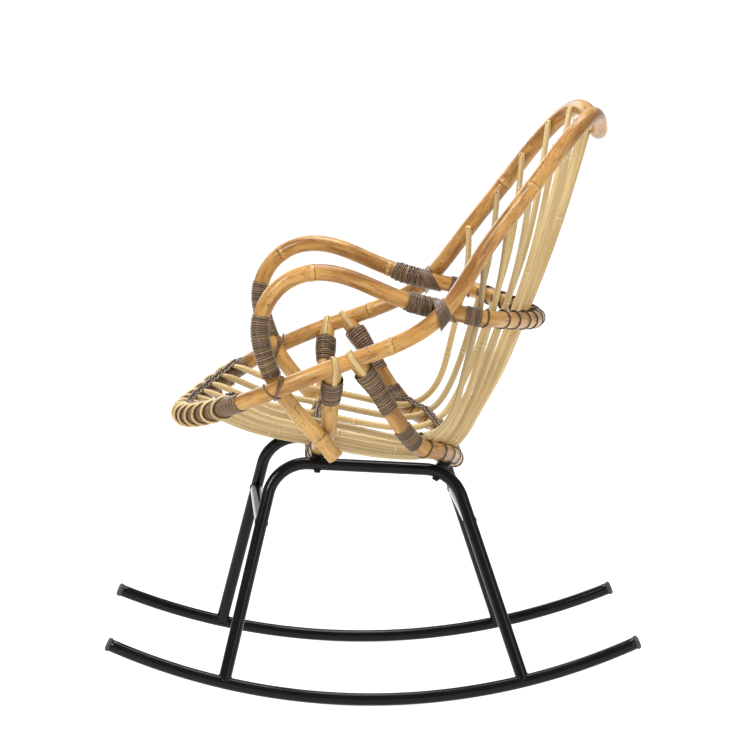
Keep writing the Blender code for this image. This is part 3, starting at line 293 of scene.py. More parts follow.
even = np.linspace(-1, 1, CANE_COUNT)
canes = [cane_line(share) for share in even + CANE_DRIFT * (1 - even**2)]
lengths = [cane.length for cane in canes]
print("canes from", round(min(lengths), 3), "to", round(max(lengths), 3), "m")

# %% [markdown]
# ## Surfaces
#
# A bar is a ring carried along its line. Each ring stands square to the line, with one axis turned
# towards a chosen side, so rings never twist against each other. Every point also remembers where it
# lies on the straightened bar: two coordinates across and one along. The finishes read that memory,
# so fibres follow each bend and there is no seam round the bar.

# %% Directions across a bar
ROUND = 2 * np.pi


def ring_frame(line, place, hint):
    """At each distance: the hint made square to the line, and the axis square to both."""
    along = line.way(place)
    first = square_to(hint(line.at(place)), along)
    return first, np.cross(along, first)


def to_middle(points):
    """The way from a point of the shell to the middle of the seat space."""
    return SHELL_MIDDLE - points


def everywhere(way):
    """A hint that is the same direction at every point."""
    return lambda points: np.broadcast_to(way, points.shape)


# Sideways suits bars that lie in a fore and aft plane, upwards suits bars that lie flat.
sideways, upwards = everywhere(ACROSS), everywhere(UP)

# %% Grids of points


def round_angles(count):
    """Evenly spaced angles once round, the last one short of the first."""
    return np.linspace(0, ROUND, count, endpoint=False)


def boxy(wave, power):
    """The size of a wave raised to a power, with its sign kept."""
    return np.sign(wave) * np.abs(wave) ** power


def on_rings(core, first, second, one, two):
    """Points of a ring about each core: core + one first + two second."""
    return core[:, None] + one[..., None] * first[:, None] + two[..., None] * second[:, None]


def patch(points, grain, looped=False, **memory):
    """A grid of points with what each remembers: its ring, tone and end, spread over the whole grid."""
    kept = {key: np.broadcast_to(memory.get(key, 0.0), points.shape[:2]) for key in ("ring", "tone", "end")}
    return {"points": points, "grain": grain, "looped": looped, **kept}


# %% Rods
RING_REACH, RING_ROWS = 0.012, 25
RIDGE_WIDTH = 0.0045
GROOVE_PLACE, GROOVE_WIDTH, GROOVE_DEPTH = 0.0055, 0.0014, 0.6
CLOSEST_ROWS = 4e-4
BEVEL = 0.09
END_SHARES, CUT_SHARE = (0.5, 0.91, 1.0), 0.95
SLOW_WAVE, QUICK_WAVE, TWIST = 23, 61, 9
SHAVED_END, ROUND_AGAIN = -0.004, 0.022
HOOK_BOX = 0.6


def ring_distance(place, rings):
    """Signed distance from each place to the nearest growth ring, in metres."""
    if len(rings) == 0:
        return np.full(len(place), 1.0)
    away = place[:, None] - np.asarray(rings)[None, :]
    return away[np.arange(len(place)), np.abs(away).argmin(1)]


def growth_ridge(away):
    """Height by the distance from a growth ring: a wide bell, less a narrow bell on one side of it."""
    groove = GROOVE_DEPTH * np.exp(-(((away - GROOVE_PLACE) / GROOVE_WIDTH) ** 2))
    return np.exp(-((away / RIDGE_WIDTH) ** 2)) - groove


def rows_along(line, radius, step, rings):
    """Where a bar's rows of points stand, closer at growth rings, and each row's share of the radius."""
    spread = [np.linspace(-RING_REACH, RING_REACH, RING_ROWS) + mark for mark in rings]
    place = np.sort(np.concatenate([np.linspace(0, line.length, int(line.length / step) + 1), *spread]))
    place = place[np.concatenate([[True], np.diff(place) > CLOSEST_ROWS])]
    if line.closed:
        place = place[(place >= 0) & (place < line.length - CLOSEST_ROWS)]
        return place, np.ones(len(place))
    bevel = radius * BEVEL
    place = place[(place > 2 * bevel) & (place < line.length - 2 * bevel)]
    share = np.concatenate([END_SHARES, np.ones(len(place)), END_SHARES[::-1]])
    tail = (line.length - bevel, line.length, line.length)
    return np.concatenate([(0, 0, bevel), place, tail]), share


def rod(
    line, radius, hint, sides, step,
    rings=(), waver=0.0, swell=0.0, tone=0.0, seed=0.0, shaved=None, taper=1.0,
):
    """Surface of a bent bar: centre(s) + r(s, a) (cos a N + sin a B).

    The radius r wavers slowly along the bar, swells to a low ridge at each growth ring, and an
    open bar ends in a small bevel round a flat face. A bar that is shaved up to some distance is there
    flattened, wider and much thinner, and grows round just after it. Its second half tapers to a share
    of its radius. The tone is one number, or two rows: distances and the tones there.
    """
    place, share = rows_along(line, radius, step, rings)
    away = ring_distance(place, rings)
    angle = round_angles(sides)[None, :]
    drift = np.sin(place * SLOW_WAVE + seed) + np.sin(place * QUICK_WAVE + 2.1 * seed) / 2
    slender = np.interp(place, (line.length / 2, line.length), (1.0, taper))
    reach = radius * slender * (1 + waver * drift) + swell * growth_ridge(away)
    oval = np.cos(2 * angle + TWIST * place[:, None] + seed)
    reach = (reach * share)[:, None] * (1 + waver * oval)
    cosine, sine = reach * np.cos(angle), reach * np.sin(angle)
    if shaved:
        full = np.interp(place, (shaved + SHAVED_END, shaved + ROUND_AGAIN), (0.0, 1.0))[:, None]
        cosine = cosine * full + reach * boxy(np.cos(angle), HOOK_BOX) * HOOK_WIDE * (1 - full)
        sine = sine * (HOOK_THIN + (1 - HOOK_THIN) * full)
    points = on_rings(line.at(place), *ring_frame(line, place, hint), cosine, sine)
    grain = np.stack([cosine + seed, sine, np.broadcast_to(place[:, None], cosine.shape)], axis=-1)
    shade = tone if np.isscalar(tone) else np.interp(place, *tone)[:, None]
    end = (share < CUT_SHARE)[:, None]
    return patch(points, grain, line.closed, ring=away[:, None], tone=shade, end=end)


# %% Strips


def strip(centre, out, width, thickness, tone, sides=10, square=0.95, seed=0.0):
    """A strip along a row of points: centre + (w/2) |cos a|^q side + (t/2) |sin a|^q out.

    The lower the power q is below one, the boxier the oval: flat below, rounded at its edges.
    """
    run = unit(np.gradient(centre, axis=0))
    out = square_to(out, run)
    angle = round_angles(sides)
    across = boxy(np.cos(angle), square)
    grid = (len(centre), sides)
    wide = np.broadcast_to(width / 2 * across, grid)
    high = np.broadcast_to(thickness / 2 * boxy(np.sin(angle), square), grid)
    points = on_rings(centre, np.cross(out, run), out, wide, high)
    length = np.broadcast_to(running_length(centre)[:, None] + seed, grid)
    shade = np.broadcast_to(tone, len(centre))[:, None]
    # ring keeps the share across the strip; the peel finish darkens the edges by it as painted shade
    # between turns.
    return patch(points, np.stack([wide, high, length], axis=-1), ring=np.abs(across), tone=shade)


# %% Meshes that hold the surfaces
SHARP_EDGE = math.radians(48)
MEMORY = {"grain": ("FLOAT_VECTOR", "vector"), **dict.fromkeys(("ring", "tone", "end"), ("FLOAT", "value"))}


def quads_of(index, looped):
    """Four-sided faces between neighbouring rings, first round the ring and then along the bar."""
    first = index if looped else index[:-1]
    second = np.roll(index, -1, axis=0) if looped else index[1:]
    corners = (first, np.roll(first, -1, axis=1), np.roll(second, -1, axis=1), second)
    faces = np.stack(corners, axis=-1).reshape(-1, 4).tolist()
    if not looped:
        faces += [index[0, ::-1].tolist(), index[-1].tolist()]
    return faces


def placed(name, data):
    """A new object of the scene that shows a mesh, a lamp or a lens."""
    made = bpy.data.objects.new(name, data)
    bpy.context.scene.collection.objects.link(made)
    return made


def dress(name, surfaces, finish, *nodes):
    """Puts surfaces into one mesh with their memory as attributes, and lets it stand for its solids."""
    faces, start = [], 0
    for surface in surfaces:
        rows, columns = surface["points"].shape[:2]
        index = start + np.arange(rows * columns).reshape(rows, columns)
        faces += quads_of(index, surface["looped"])
        start += rows * columns
    points = np.concatenate([surface["points"].reshape(-1, 3) for surface in surfaces])
    mesh = bpy.data.meshes.new(name)
    mesh.from_pydata(points.tolist(), [], faces)
    for key, (kind, field) in MEMORY.items():
        values = np.concatenate([surface[key].reshape(-1) for surface in surfaces])
        mesh.attributes.new(key, kind, "POINT").data.foreach_set(field, values.astype(np.float32))
    mesh.polygons.foreach_set("use_smooth", np.ones(len(mesh.polygons), bool))
    mesh.set_sharp_from_angle(angle=SHARP_EDGE)
    mesh.materials.append(finish.material)
    piece = placed(name, mesh)
    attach(piece, "root")
    if nodes:
        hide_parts(*nodes)
    return piece


# %% [markdown]
# ## Finishes as expressions
#
# A finish is a small calculation at every point of a surface. Wiring nodes by hand hides that
# calculation, so a socket is wrapped in a class whose operators add the Math nodes: `1 - mask` reads
# as it is meant. Everything that is not plain arithmetic comes from one method, `node`.

# %% Sockets that take part in sums


class Socket:
    """A shader value in a Python expression; each operator adds the Math node that works it out."""

    def __init__(self, finish, output):
        self.finish = finish
        self.output = output

    def math(self, operation, *values):
        """One Math node on the given values, which may be numbers or sockets."""
        return self.finish.node("ShaderNodeMath", {"operation": operation}, values)

    def __add__(self, other):
        return self.math("ADD", self, other)

    def __radd__(self, other):
        return self.math("ADD", other, self)

    def __sub__(self, other):
        return self.math("SUBTRACT", self, other)

    def __rsub__(self, other):
        return self.math("SUBTRACT", other, self)

    def __mul__(self, other):
        return self.math("MULTIPLY", self, other)

    def __rmul__(self, other):
        return self.math("MULTIPLY", other, self)

    def __abs__(self):
        return self.math("ABSOLUTE", self)


class Finish:
    """A material with its own name: its shader's fixed values, then nodes that feed it."""

    def __init__(self, name, **fixed):
        self.name = name
        self.material = bpy.data.materials.new(name)
        self.material.use_nodes = True
        self.tree = self.material.node_tree
        self.shader = self.tree.nodes["Principled BSDF"]
        for title, value in fixed.items():
            self.shader.inputs[title.replace("_", " ")].default_value = value

    def find(self, sockets, key):
        """A socket by its number, its identifier or its name."""
        if isinstance(key, int):
            return sockets[key]
        return next(socket for socket in sockets if key in (socket.identifier, socket.name))

    def node(self, kind, settings=None, values=(), output=0):
        """A node of one type: its settings first, then its sockets' values or links."""
        made = self.tree.nodes.new(kind)
        for key, value in (settings or {}).items():
            setattr(made, key, value)
        pairs = values.items() if isinstance(values, dict) else enumerate(values)
        for key, value in pairs:
            self.join(value, self.find(made.inputs, key))
        return Socket(self, self.find(made.outputs, output))

    def join(self, value, target):
        """Links a socket to a target, or sets the target to a plain value."""
        if isinstance(value, Socket):
            self.tree.links.new(value.output, target)
        else:
            target.default_value = value

    def feed(self, **links):
        """Feeds the shader's named inputs."""
        for title, value in links.items():
            self.join(value, self.shader.inputs[title.replace("_", " ")])

    def memory(self, name, output="Fac"):
        """An attribute of the mesh: what each point remembers."""
        return self.node("ShaderNodeAttribute", {"attribute_name": name}, (), output)

    def spot(self):
        """The point's own place on the chair, in metres."""
        return self.node("ShaderNodeTexCoord", {}, (), "Object")

    def noise(self, vector, scale, detail):
        """Soft noise about one half, in a space stretched part by part."""
        stretched = self.node("ShaderNodeVectorMath", {"operation": "MULTIPLY"}, (vector, scale))
        return self.node("ShaderNodeTexNoise", {}, {"Vector": stretched, "Scale": 1.0, "Detail": detail})

    def step(self, value, low, high):
        """A smooth rise from zero to one while the value goes from low to high."""
        settings = {"interpolation_type": "SMOOTHSTEP"}
        values = {"Value": value, "From Min": low, "From Max": high}
        return self.node("ShaderNodeMapRange", settings, values)

    def mix(self, share, first, second):
        """Two colours mixed by a share."""
        values = {"Factor_Float": share, "A_Color": first, "B_Color": second}
        return self.node("ShaderNodeMix", {"data_type": "RGBA"}, values, "Result_Color")

    def relief(self, height, distance, strength):
        """A bump whose height is given in parts of a distance in metres."""
        values = {"Strength": strength, "Distance": distance, "Height": height}
        return self.node("ShaderNodeBump", {}, values)

    def done(self):
        """The finish itself, after a word on what it holds."""
        print("finish", self.material.name, "has", len(self.tree.nodes), "nodes")
        return self


def tint(red, green, blue):
    """A colour on a screen's scale, from 0 to 255, as the light that it stands for."""
    part = np.array((red, green, blue)) / 255
    light = np.where(part <= 0.04045, part / 12.92, ((part + 0.055) / 1.055) ** 2.4)
    return (*light.tolist(), 1.0)


# %% [markdown]
# ## Rattan pole
#
# A rattan pole is a climbing palm's stem with its bark on, bent with a torch and varnished. Its skin is
# honey brown with fine fibres along it, drifts of darker and lighter brown, dark flecks that also run
# with the fibres, and at each growth ring a pale scar with a dark line on one side. Cut across, it
# shows pale wood full of pores. Noise that is drawn out along the pole makes the fibres and flecks.

# %% The pole's finish


def rattan_pole():
    """Honey brown from drifts and blotches, then fibres, flecks, growth rings and cut ends over it."""
    made = Finish("rattan_pole", Coat_Weight=0.08, Coat_Roughness=0.07, Specular_IOR_Level=0.34)
    grain = made.memory("grain", "Vector")
    fibre = made.noise(grain, (1500, 1500, 22), 3.0)
    streak = made.noise(grain, (420, 420, 9), 2.0)
    drift = made.noise(grain, (52, 52, 10), 3.0)
    blotch = made.noise(grain, (170, 170, 48), 3.0)
    worn = made.noise(grain, (80, 80, 17), 2.0)
    honey = made.mix(made.step(drift, 0.34, 0.66), tint(128, 82, 35), tint(188, 139, 72))
    honey = made.mix(made.memory("tone"), honey, tint(196, 156, 94))
    honey = made.mix(made.step(worn, 0.50, 0.66) * 0.55, honey, tint(202, 160, 94))
    honey = made.mix(made.step(blotch, 0.50, 0.70) * 0.45, honey, tint(108, 66, 24))
    honey = made.mix(made.step(streak, 0.46, 0.70) * 0.30, honey, tint(194, 148, 78))
    honey = made.mix(made.step(fibre, 0.48, 0.72) * 0.35, honey, tint(98, 60, 22))
    crowd = made.step(made.noise(grain, (34, 34, 12), 1.0), 0.50, 0.62)
    fleck = made.step(made.noise(grain, (520, 520, 210), 2.0), 0.640, 0.665)
    crack = made.step(made.noise(grain, (620, 620, 30), 1.0), 0.71, 0.74)
    dark = fleck * crowd + crack * made.step(blotch, 0.45, 0.6)
    honey = made.mix(dark * 0.92, honey, tint(40, 22, 10))
    ragged = made.noise(grain, (330, 330, 90), 3.0)
    ring = made.memory("ring") + 0.0075 * (ragged - 0.5)
    scar = (1 - made.step(abs(ring), 0.0016, 0.0044)) * made.step(streak, 0.30, 0.55)
    line = 1 - made.step(abs(ring - 0.0036), 0.0003, 0.0009)
    honey = made.mix(scar * 0.55, honey, tint(206, 164, 100))
    honey = made.mix(line * 0.75, honey, tint(64, 36, 16))
    pores = made.step(made.noise(grain, (1900, 1900, 4), 1.0), 0.55, 0.66)
    wood = made.mix(pores * 0.6, tint(196, 150, 92), tint(140, 92, 48))
    cut = made.memory("end")
    made.feed(Base_Color=made.mix(cut, honey, wood))
    made.feed(Roughness=0.22 + 0.14 * fibre + 0.36 * cut)
    made.feed(Normal=made.relief(fibre + 1.5 * dark, 0.00018, 0.4))
    return made.done()


pole_finish = rattan_pole()

# %% [markdown]
# ## The poles
#
# Four poles carry the shell: the closed hoop, the arm hoop with its two cut tails, and two bent
# supports under the seat. Each could be a bevelled curve, but a curve has no growth rings. Here the
# radius itself changes along the pole, and rings are named by the place where they sit on the bar.

# %% Four poles with their growth rings
ARM_RING_SPOTS = (
    (0.2415, -0.092, 0.6440), (0.05, 0.248, 0.5565), (-0.2435, -0.131, 0.6310), (-0.2372, 0.0376, 0.6076),
)
TAIL, TAIL_FADE, TAIL_TONE = 0.09, 0.14, 0.7
POLE_LOOK = {
    "radius": POLE, "hint": to_middle, "sides": 24, "step": 0.006, "waver": 0.008, "swell": 0.0008,
}
hoop_left = [hoop.where(AHEAD, place) for place in (0.022, 0.236)]
hoop_right = [hoop.length - hoop.where(AHEAD, place) for place in (0.009, 0.219)]
hoop_rings = [*hoop_left, *hoop_right, hoop.length / 2 + 0.05]
arm_rings = [0.034, arm.length - 0.040, *(arm.nearest(spot) for spot in ARM_RING_SPOTS)]
tail_places = (0.0, TAIL, TAIL_FADE, arm.length - TAIL_FADE, arm.length - TAIL, arm.length)
pale_tails = (tail_places, (TAIL_TONE, TAIL_TONE, 0, 0, TAIL_TONE, TAIL_TONE))
for name, line, rings, tone, seed in (
    ("main_hoop", hoop, hoop_rings, 0.0, 1.0),
    ("arm_hoop", arm, arm_rings, pale_tails, 2.0),
    ("front_seat_support", front_support, (0.240, 0.420, 0.640), 0.75, 3.0),
    ("rear_seat_support", rear_support, (0.330, 0.520), 0.15, 4.0),
):
    surface = rod(line, rings=rings, tone=tone, seed=seed, **POLE_LOOK)
    piece = dress(name + "_pole", [surface], pole_finish, name)
    print(piece.name, "has", len(piece.data.polygons), "faces and", len(rings), "growth rings")

# %% [markdown]
# ## Cane
#
# The canes are thinner stems of the same palm with the skin left pale: straw to cream, here and there
# grey, with thin dark lines where a leaf once sat and a few specks. They shine less than the poles do.
# One finish serves all thirteen, and a tone kept in each mesh makes one greyer and the next warmer.

# %% The cane's finish


def pale_cane():
    """Straw colour from fibres and drifts, turned by the cane's tone, with thin dark joint lines."""
    made = Finish("pale_cane", Coat_Weight=0.15, Coat_Roughness=0.20, IOR=1.48)
    grain = made.memory("grain", "Vector")
    tone = made.memory("tone")
    fibre = made.noise(grain, (2300, 2300, 20), 3.0)
    streak = made.noise(grain, (520, 520, 6), 2.0)
    drift = made.noise(grain, (70, 70, 6), 2.0)
    straw = made.mix(made.step(drift, 0.32, 0.68), tint(182, 151, 93), tint(209, 183, 128))
    straw = made.mix(tone, straw, tint(158, 138, 98))
    straw = made.mix(made.step(streak, 0.52, 0.74) * 0.50, straw, tint(142, 108, 58))
    straw = made.mix(made.step(fibre, 0.50, 0.74) * 0.40, straw, tint(130, 98, 52))
    crowd = made.step(made.noise(grain, (46, 46, 9), 1.0), 0.52, 0.66)
    fleck = made.step(made.noise(grain, (1300, 1300, 150), 1.0), 0.68, 0.71)
    straw = made.mix(fleck * crowd * 0.8, straw, tint(70, 46, 24))
    ring = made.memory("ring") + 0.004 * (made.noise(grain, (420, 420, 80), 2.0) - 0.5)
    scar = 1 - made.step(abs(ring + 0.0012), 0.0010, 0.0030)
    line = 1 - made.step(abs(ring), 0.0002, 0.0008)
    straw = made.mix(scar * 0.35, straw, tint(236, 218, 172))
    straw = made.mix(line * 0.80, straw, tint(104, 72, 38))
    cut = made.memory("end")
    made.feed(Base_Color=made.mix(cut * 0.8, straw, tint(206, 172, 118)))
    made.feed(Roughness=0.34 + 0.16 * fibre + 0.25 * cut)
    made.feed(Normal=made.relief(fibre, 0.00018, 0.5))
    return made.done()


cane_finish = pale_cane()

# %% Thirteen canes
CANE_TONES = (0.05, 0.45, 0.10, 0.25, 0.05, 0.35, 0.15, 0.0, 0.30, 0.10, 0.40, 0.05, 0.55)
FIRST_JOINT, JOINT_PITCH, BARE_TOP = 0.16, 0.285, 0.03
CANE_LOOK = {
    "radius": CANE, "hint": sideways, "sides": 14, "step": 0.006, "waver": 0.012, "swell": 0.00035,
    "taper": CANE_TAPER,
}
for k, (line, tone) in enumerate(zip(canes, CANE_TONES)):
    first = FIRST_JOINT + 0.11 * math.sin(2.4 * k)
    pitch = JOINT_PITCH + 0.03 * math.cos(5.1 * k)
    joints = np.arange(first, line.length - BARE_TOP, pitch)
    surface = rod(line, rings=joints, tone=tone, seed=5.0 + k, shaved=line.leave, **CANE_LOOK)
    dress(f"cane_{k + 1:02d}", [surface], cane_finish, f"seat_cane_{k + 1:02d}")
print("thirteen canes, each with joints about 285 mm apart")

# %% [markdown]
# ## Painted steel
#
# The base is steel tube bent and welded, then painted gloss black. Black gloss is all reflection: the
# paint itself is nearly without colour, and what shows is the long light on each tube, broken a
# little by the paint's orange peel and by fine dust where hands don't reach.

# %% The paint, the cap's plastic and the bolt's zinc


def black_steel():
    """Near black, a faint dust drift, and a fine orange peel in the gloss."""
    made = Finish("black_steel", Coat_Weight=0.08, Coat_Roughness=0.03, Specular_IOR_Level=0.17)
    place = made.spot()
    drift = made.noise(place, (38, 38, 38), 3.0)
    peel = made.noise(place, (420, 420, 420), 2.0)
    dust = made.step(made.noise(place, (900, 900, 900), 2.0), 0.60, 0.75)
    black = made.mix(made.step(drift, 0.35, 0.7), tint(4, 4, 5), tint(10, 10, 11))
    made.feed(Base_Color=made.mix(dust * 0.15, black, tint(40, 39, 38)))
    made.feed(Roughness=0.08 + 0.08 * drift)
    made.feed(Normal=made.relief(peel, 0.00025, 0.5))
    return made.done()


def grey_cap():
    """Moulded dark grey plastic, dull, with a fine grained skin."""
    made = Finish("grey_cap", Specular_IOR_Level=0.35)
    place = made.spot()
    skin = made.noise(place, (1400, 1400, 1400), 2.0)
    wear = made.noise(place, (90, 90, 90), 2.0)
    made.feed(Base_Color=made.mix(wear, tint(46, 47, 49), tint(72, 73, 75)))
    made.feed(Roughness=0.52 + 0.2 * skin)
    made.feed(Normal=made.relief(skin, 0.0001, 0.4))
    return made.done()


def dark_bolt():
    """Blackened zinc with rubbed spots."""
    made = Finish("dark_bolt", Metallic=0.85)
    place = made.spot()
    rub = made.step(made.noise(place, (700, 700, 700), 3.0), 0.5, 0.7)
    made.feed(Base_Color=made.mix(rub, tint(20, 19, 18), tint(58, 56, 53)))
    made.feed(Roughness=0.48 - 0.14 * rub)
    return made.done()


steel_finish, cap_finish, bolt_finish = black_steel(), grey_cap(), dark_bolt()

# %% [markdown]
# ## The base
#
# Each side has a leg frame, an upside-down U with two rounded corners, welded to a runner that is one
# long arc leaning inwards. Two straight bars join the sides. The bends are true arcs, worked out from
# the two straight runs that meet, as a tube bender makes them.

# %% Runners, leg frames and cross bars
TUBE, TUBE_SIDES = 0.0095, 28
ROCKER_RADIUS, ROCKER_REACH, ROCKER_SPREAD = 0.970, 0.391, 0.2445
ROCKER_LEAN = math.radians(13.5)
LEG_CORNERS = {
    "left": (
        (0.2385, -0.223, 0.0338), (0.1401, -0.1449, 0.3516),
        (0.1365, 0.1218, 0.3371), (0.2385, 0.2235, 0.0339),
    ),
    "right": (
        (-0.2380, -0.231, 0.0358), (-0.1406, -0.1530, 0.3519),
        (-0.1368, 0.1140, 0.3378), (-0.239, 0.2155, 0.0319),
    ),
}
LEG_BEND = 0.060
CROSS_BAR_ENDS = {
    "front_cross_bar": ((0.1674, -0.1665, 0.2635), (-0.1679, -0.1748, 0.2635)),
    "rear_cross_bar": ((0.1613, 0.1465, 0.2635), (-0.1616, 0.1387, 0.2635)),
}


def rocker_line():
    """Arc of the runner: rise R (1 - cos b) leaned inwards, from one end's angle b to the other's."""
    swing = math.asin(ROCKER_REACH / ROCKER_RADIUS)
    angle = np.linspace(-swing, swing, 400)
    rise = ROCKER_RADIUS * (1 - np.cos(angle))
    across = ROCKER_SPREAD - rise * math.sin(ROCKER_LEAN)
    height = TUBE + rise * math.cos(ROCKER_LEAN)
    return Line(np.column_stack([across, ROCKER_RADIUS * np.sin(angle), height]))


def bend(before, corner, after, radius, count=40):
    """Points of the arc that is tangent to both straight runs of a corner."""
    back, forward = unit(before - corner), unit(after - corner)
    half_turn = (math.pi - math.acos(back @ forward)) / 2
    middle = corner + unit(back + forward) * radius / math.cos(half_turn)
    start = unit(corner + back * radius * math.tan(half_turn) - middle)
    side = square_to(forward - back, start)
    return middle + radius * around(start, side, np.linspace(0, 2 * half_turn, count))


def leg_line(side):
    """Foot, bend, top run, bend, foot; on the real chair the right frame stands 8 mm further forward."""
    first, second, third, last = np.array(LEG_CORNERS[side])
    arcs = [bend(first, second, third, LEG_BEND), bend(second, third, last, LEG_BEND)]
    return Line(np.vstack([first, *arcs, last]))


def tube(name, line, hint, step, node):
    """A tube as a plain rod along its line, painted."""
    dress(name, [rod(line, TUBE, hint, TUBE_SIDES, step)], steel_finish, node)


rocker = rocker_line()
runners = {side: on_side(rocker, sign) for side, sign in SIDES}
legs = {side: leg_line(side) for side, _ in SIDES}
cross_bars = {name: spline(ends) for name, ends in CROSS_BAR_ENDS.items()}
for side, _ in SIDES:
    tube(f"{side}_runner_tube", runners[side], sideways, 0.008, f"{side}_rocker")
    tube(f"{side}_leg_tube", legs[side], sideways, 0.004, f"{side}_leg_frame")
for name, line in cross_bars.items():
    tube(name + "_tube", line, upwards, 0.02, name)
print("runner", round(rocker.length, 3), "m, leg frame", round(legs["left"].length, 3), "m")

# %% [markdown]
# ## Welds
#
# Where one tube ends on another, the welder leaves a bead along the line in which they meet. That
# line is found, not guessed: from each point round the end of a tube, a stretch along it is halved
# again and again, until what is left lies one tube's radius from the other tube's axis.

# %% Beads where tubes meet
BEAD, BEAD_SIDES, BEAD_STEP, BEAD_SINK = 0.0017, 10, 0.0011, 0.0006
RIPPLE = 0.10
WELD_SEARCH, WELD_HALVINGS = 0.05, 24
INSIDE, STEEP = 0.02, 0.8


def meeting(line, from_end, other, count=48):
    """Curve in which a tube's skin meets another tube's skin, by repeated halving along the tube."""
    end = 0.0 if from_end > 0 else line.length
    along = line.way(end + from_end * INSIDE) * from_end
    first = square_to(UP if abs(along[2]) < STEEP else ACROSS, along)
    out = around(first, np.cross(along, first), round_angles(count))
    skin = line.at(end) + TUBE * out
    low, high = np.zeros((count, 1)), np.full((count, 1), WELD_SEARCH)
    for _ in range(WELD_HALVINGS):
        half = (low + high) / 2
        gaps = (skin + along * half)[:, None] - other.points[None, ::4]
        outside = np.linalg.norm(gaps, axis=2).min(1)[:, None] > TUBE
        high = np.where(outside, half, high)
        low = np.where(outside, low, half)
    return skin + along * high, out


def bead(line, from_end, other):
    """A bead along the meeting curve, as a closed rod whose size ripples by a sine from row to row."""
    curve, out = meeting(line, from_end, other)
    sunk = curve - out * BEAD_SINK
    middle = Line(np.vstack([sunk, sunk[:1]]), closed=True)
    centre = curve.mean(0)
    surface = rod(middle, BEAD, lambda points: points - centre, BEAD_SIDES, BEAD_STEP)
    ripple = 1 + RIPPLE * np.sin(np.arange(len(surface["points"])) * ROUND / 4)
    core = middle.at(surface["grain"][:, 0, 2])[:, None]
    surface["points"] = core + (surface["points"] - core) * ripple[:, None, None]
    return surface


for side, sign in SIDES:
    beads = [bead(legs[side], end, runners[side]) for end in (1, -1)]
    beads += [bead(line, int(sign), legs[side]) for line in cross_bars.values()]
    dress(f"{side}_weld_beads", beads, steel_finish)
print("four weld beads on each side")

# %% [markdown]
# ## Caps, saddles and bolts
#
# The runners end in plastic plugs a little wider than the tube. Small black blocks sit between the
# top tubes and the rattan supports, held by a bolt from below. All three are round or rounded forms
# about an axis, so one turned surface serves: a ring whose size changes along the axis, and whose
# outline is a circle, a hexagon or a rounded block.

# %% Turned pieces


def turned(base, axis, across, profile, outline, sides=36):
    """Surface about an axis: base + h axis + size * outline(a) (cos a across + sin a third).

    The profile is two rows: the heights h, and the sizes there.
    """
    heights, sizes = np.array(profile)
    axis = unit(axis)
    first = square_to(across, axis)
    angle = round_angles(sides)
    reach = sizes[:, None] * outline(angle)
    ring = around(first, np.cross(axis, first), angle)
    points = base + heights[:, None, None] * axis + reach[..., None] * ring
    return patch(points, points.copy())


def circle(angle):
    """Reach one all round."""
    return np.ones_like(angle)


def hexagon(angle):
    """Reach to the flat sides of a hexagon."""
    return 1 / np.cos((angle + np.pi / 6) % (np.pi / 3) - np.pi / 6)


def block(angle):
    """Reach to a rounded block, seven parts wide and ten deep, as a power oval."""
    return (np.abs(np.cos(angle) / 0.7) ** 5 + np.abs(np.sin(angle)) ** 5) ** (-1 / 5)


SADDLES = {
    "left_front": ((0.131, -0.0810, 0.3719), (0.1393, -0.0821, 0.3482)),
    "left_rear": ((0.131, 0.1158, 0.3609), (0.1382, 0.1007, 0.3344)),
    "right_front": ((-0.131, -0.0811, 0.3717), (-0.1396, -0.0822, 0.3482)),
    "right_rear": ((-0.131, 0.1160, 0.3611), (-0.1394, 0.0991, 0.3316)),
}
CAP_PROFILE = (
    (-0.010, -0.0005, -0.0003, 0.0004, 0.0040, 0.0052, 0.0060, 0.0060),
    (0.0078, 0.0078, 0.0100, 0.0106, 0.0106, 0.0100, 0.0082, 0.0030),
)
BLOCK_SIZES = (0.0094, 0.0104, 0.0098, 0.0094, 0.0100, 0.0108, 0.0098)
WASHER_PROFILE = ((0.0080, 0.0102, 0.0105, 0.0105), (0.0058, 0.0058, 0.0054, 0.0020))
HEAD_PROFILE = ((0.0098, 0.0103, 0.0130, 0.0135, 0.0135), (0.0040, 0.0042, 0.0042, 0.0037, 0.0012))


def seat_block(tube_spot, axis, gap):
    """A block between tube and pole, waisted in the middle of the gap."""
    heights = (0.0045, 0.0065, 0.0090, gap / 2, gap - 0.0110, gap - 0.0080, gap - 0.0060)
    return turned(tube_spot, axis, ACROSS, (heights, BLOCK_SIZES), block)


for side, sign in SIDES:
    for name, place, turn in (("front", 0.0, -1.0), ("rear", rocker.length, 1.0)):
        corner = f"{side}_{name}"
        end, way = on_side(rocker.at(place), sign), on_side(rocker.way(place) * turn, sign)
        dress(f"{corner}_plug", [turned(end, way, UP, CAP_PROFILE, circle)], cap_finish, f"{corner}_cap")
        pole_spot, tube_spot = np.array(SADDLES[corner])
        axis, gap = unit(pole_spot - tube_spot), np.linalg.norm(pole_spot - tube_spot)
        dress(f"{corner}_block", [seat_block(tube_spot, axis, gap)], steel_finish, f"{corner}_saddle")
        washer = turned(tube_spot, -axis, ACROSS, WASHER_PROFILE, circle)
        head = turned(tube_spot, -axis, ACROSS, HEAD_PROFILE, hexagon)
        dress(f"{corner}_bolt_head", [washer, head], bolt_finish, f"{corner}_bolt")
print("four caps, four blocks and four bolts")
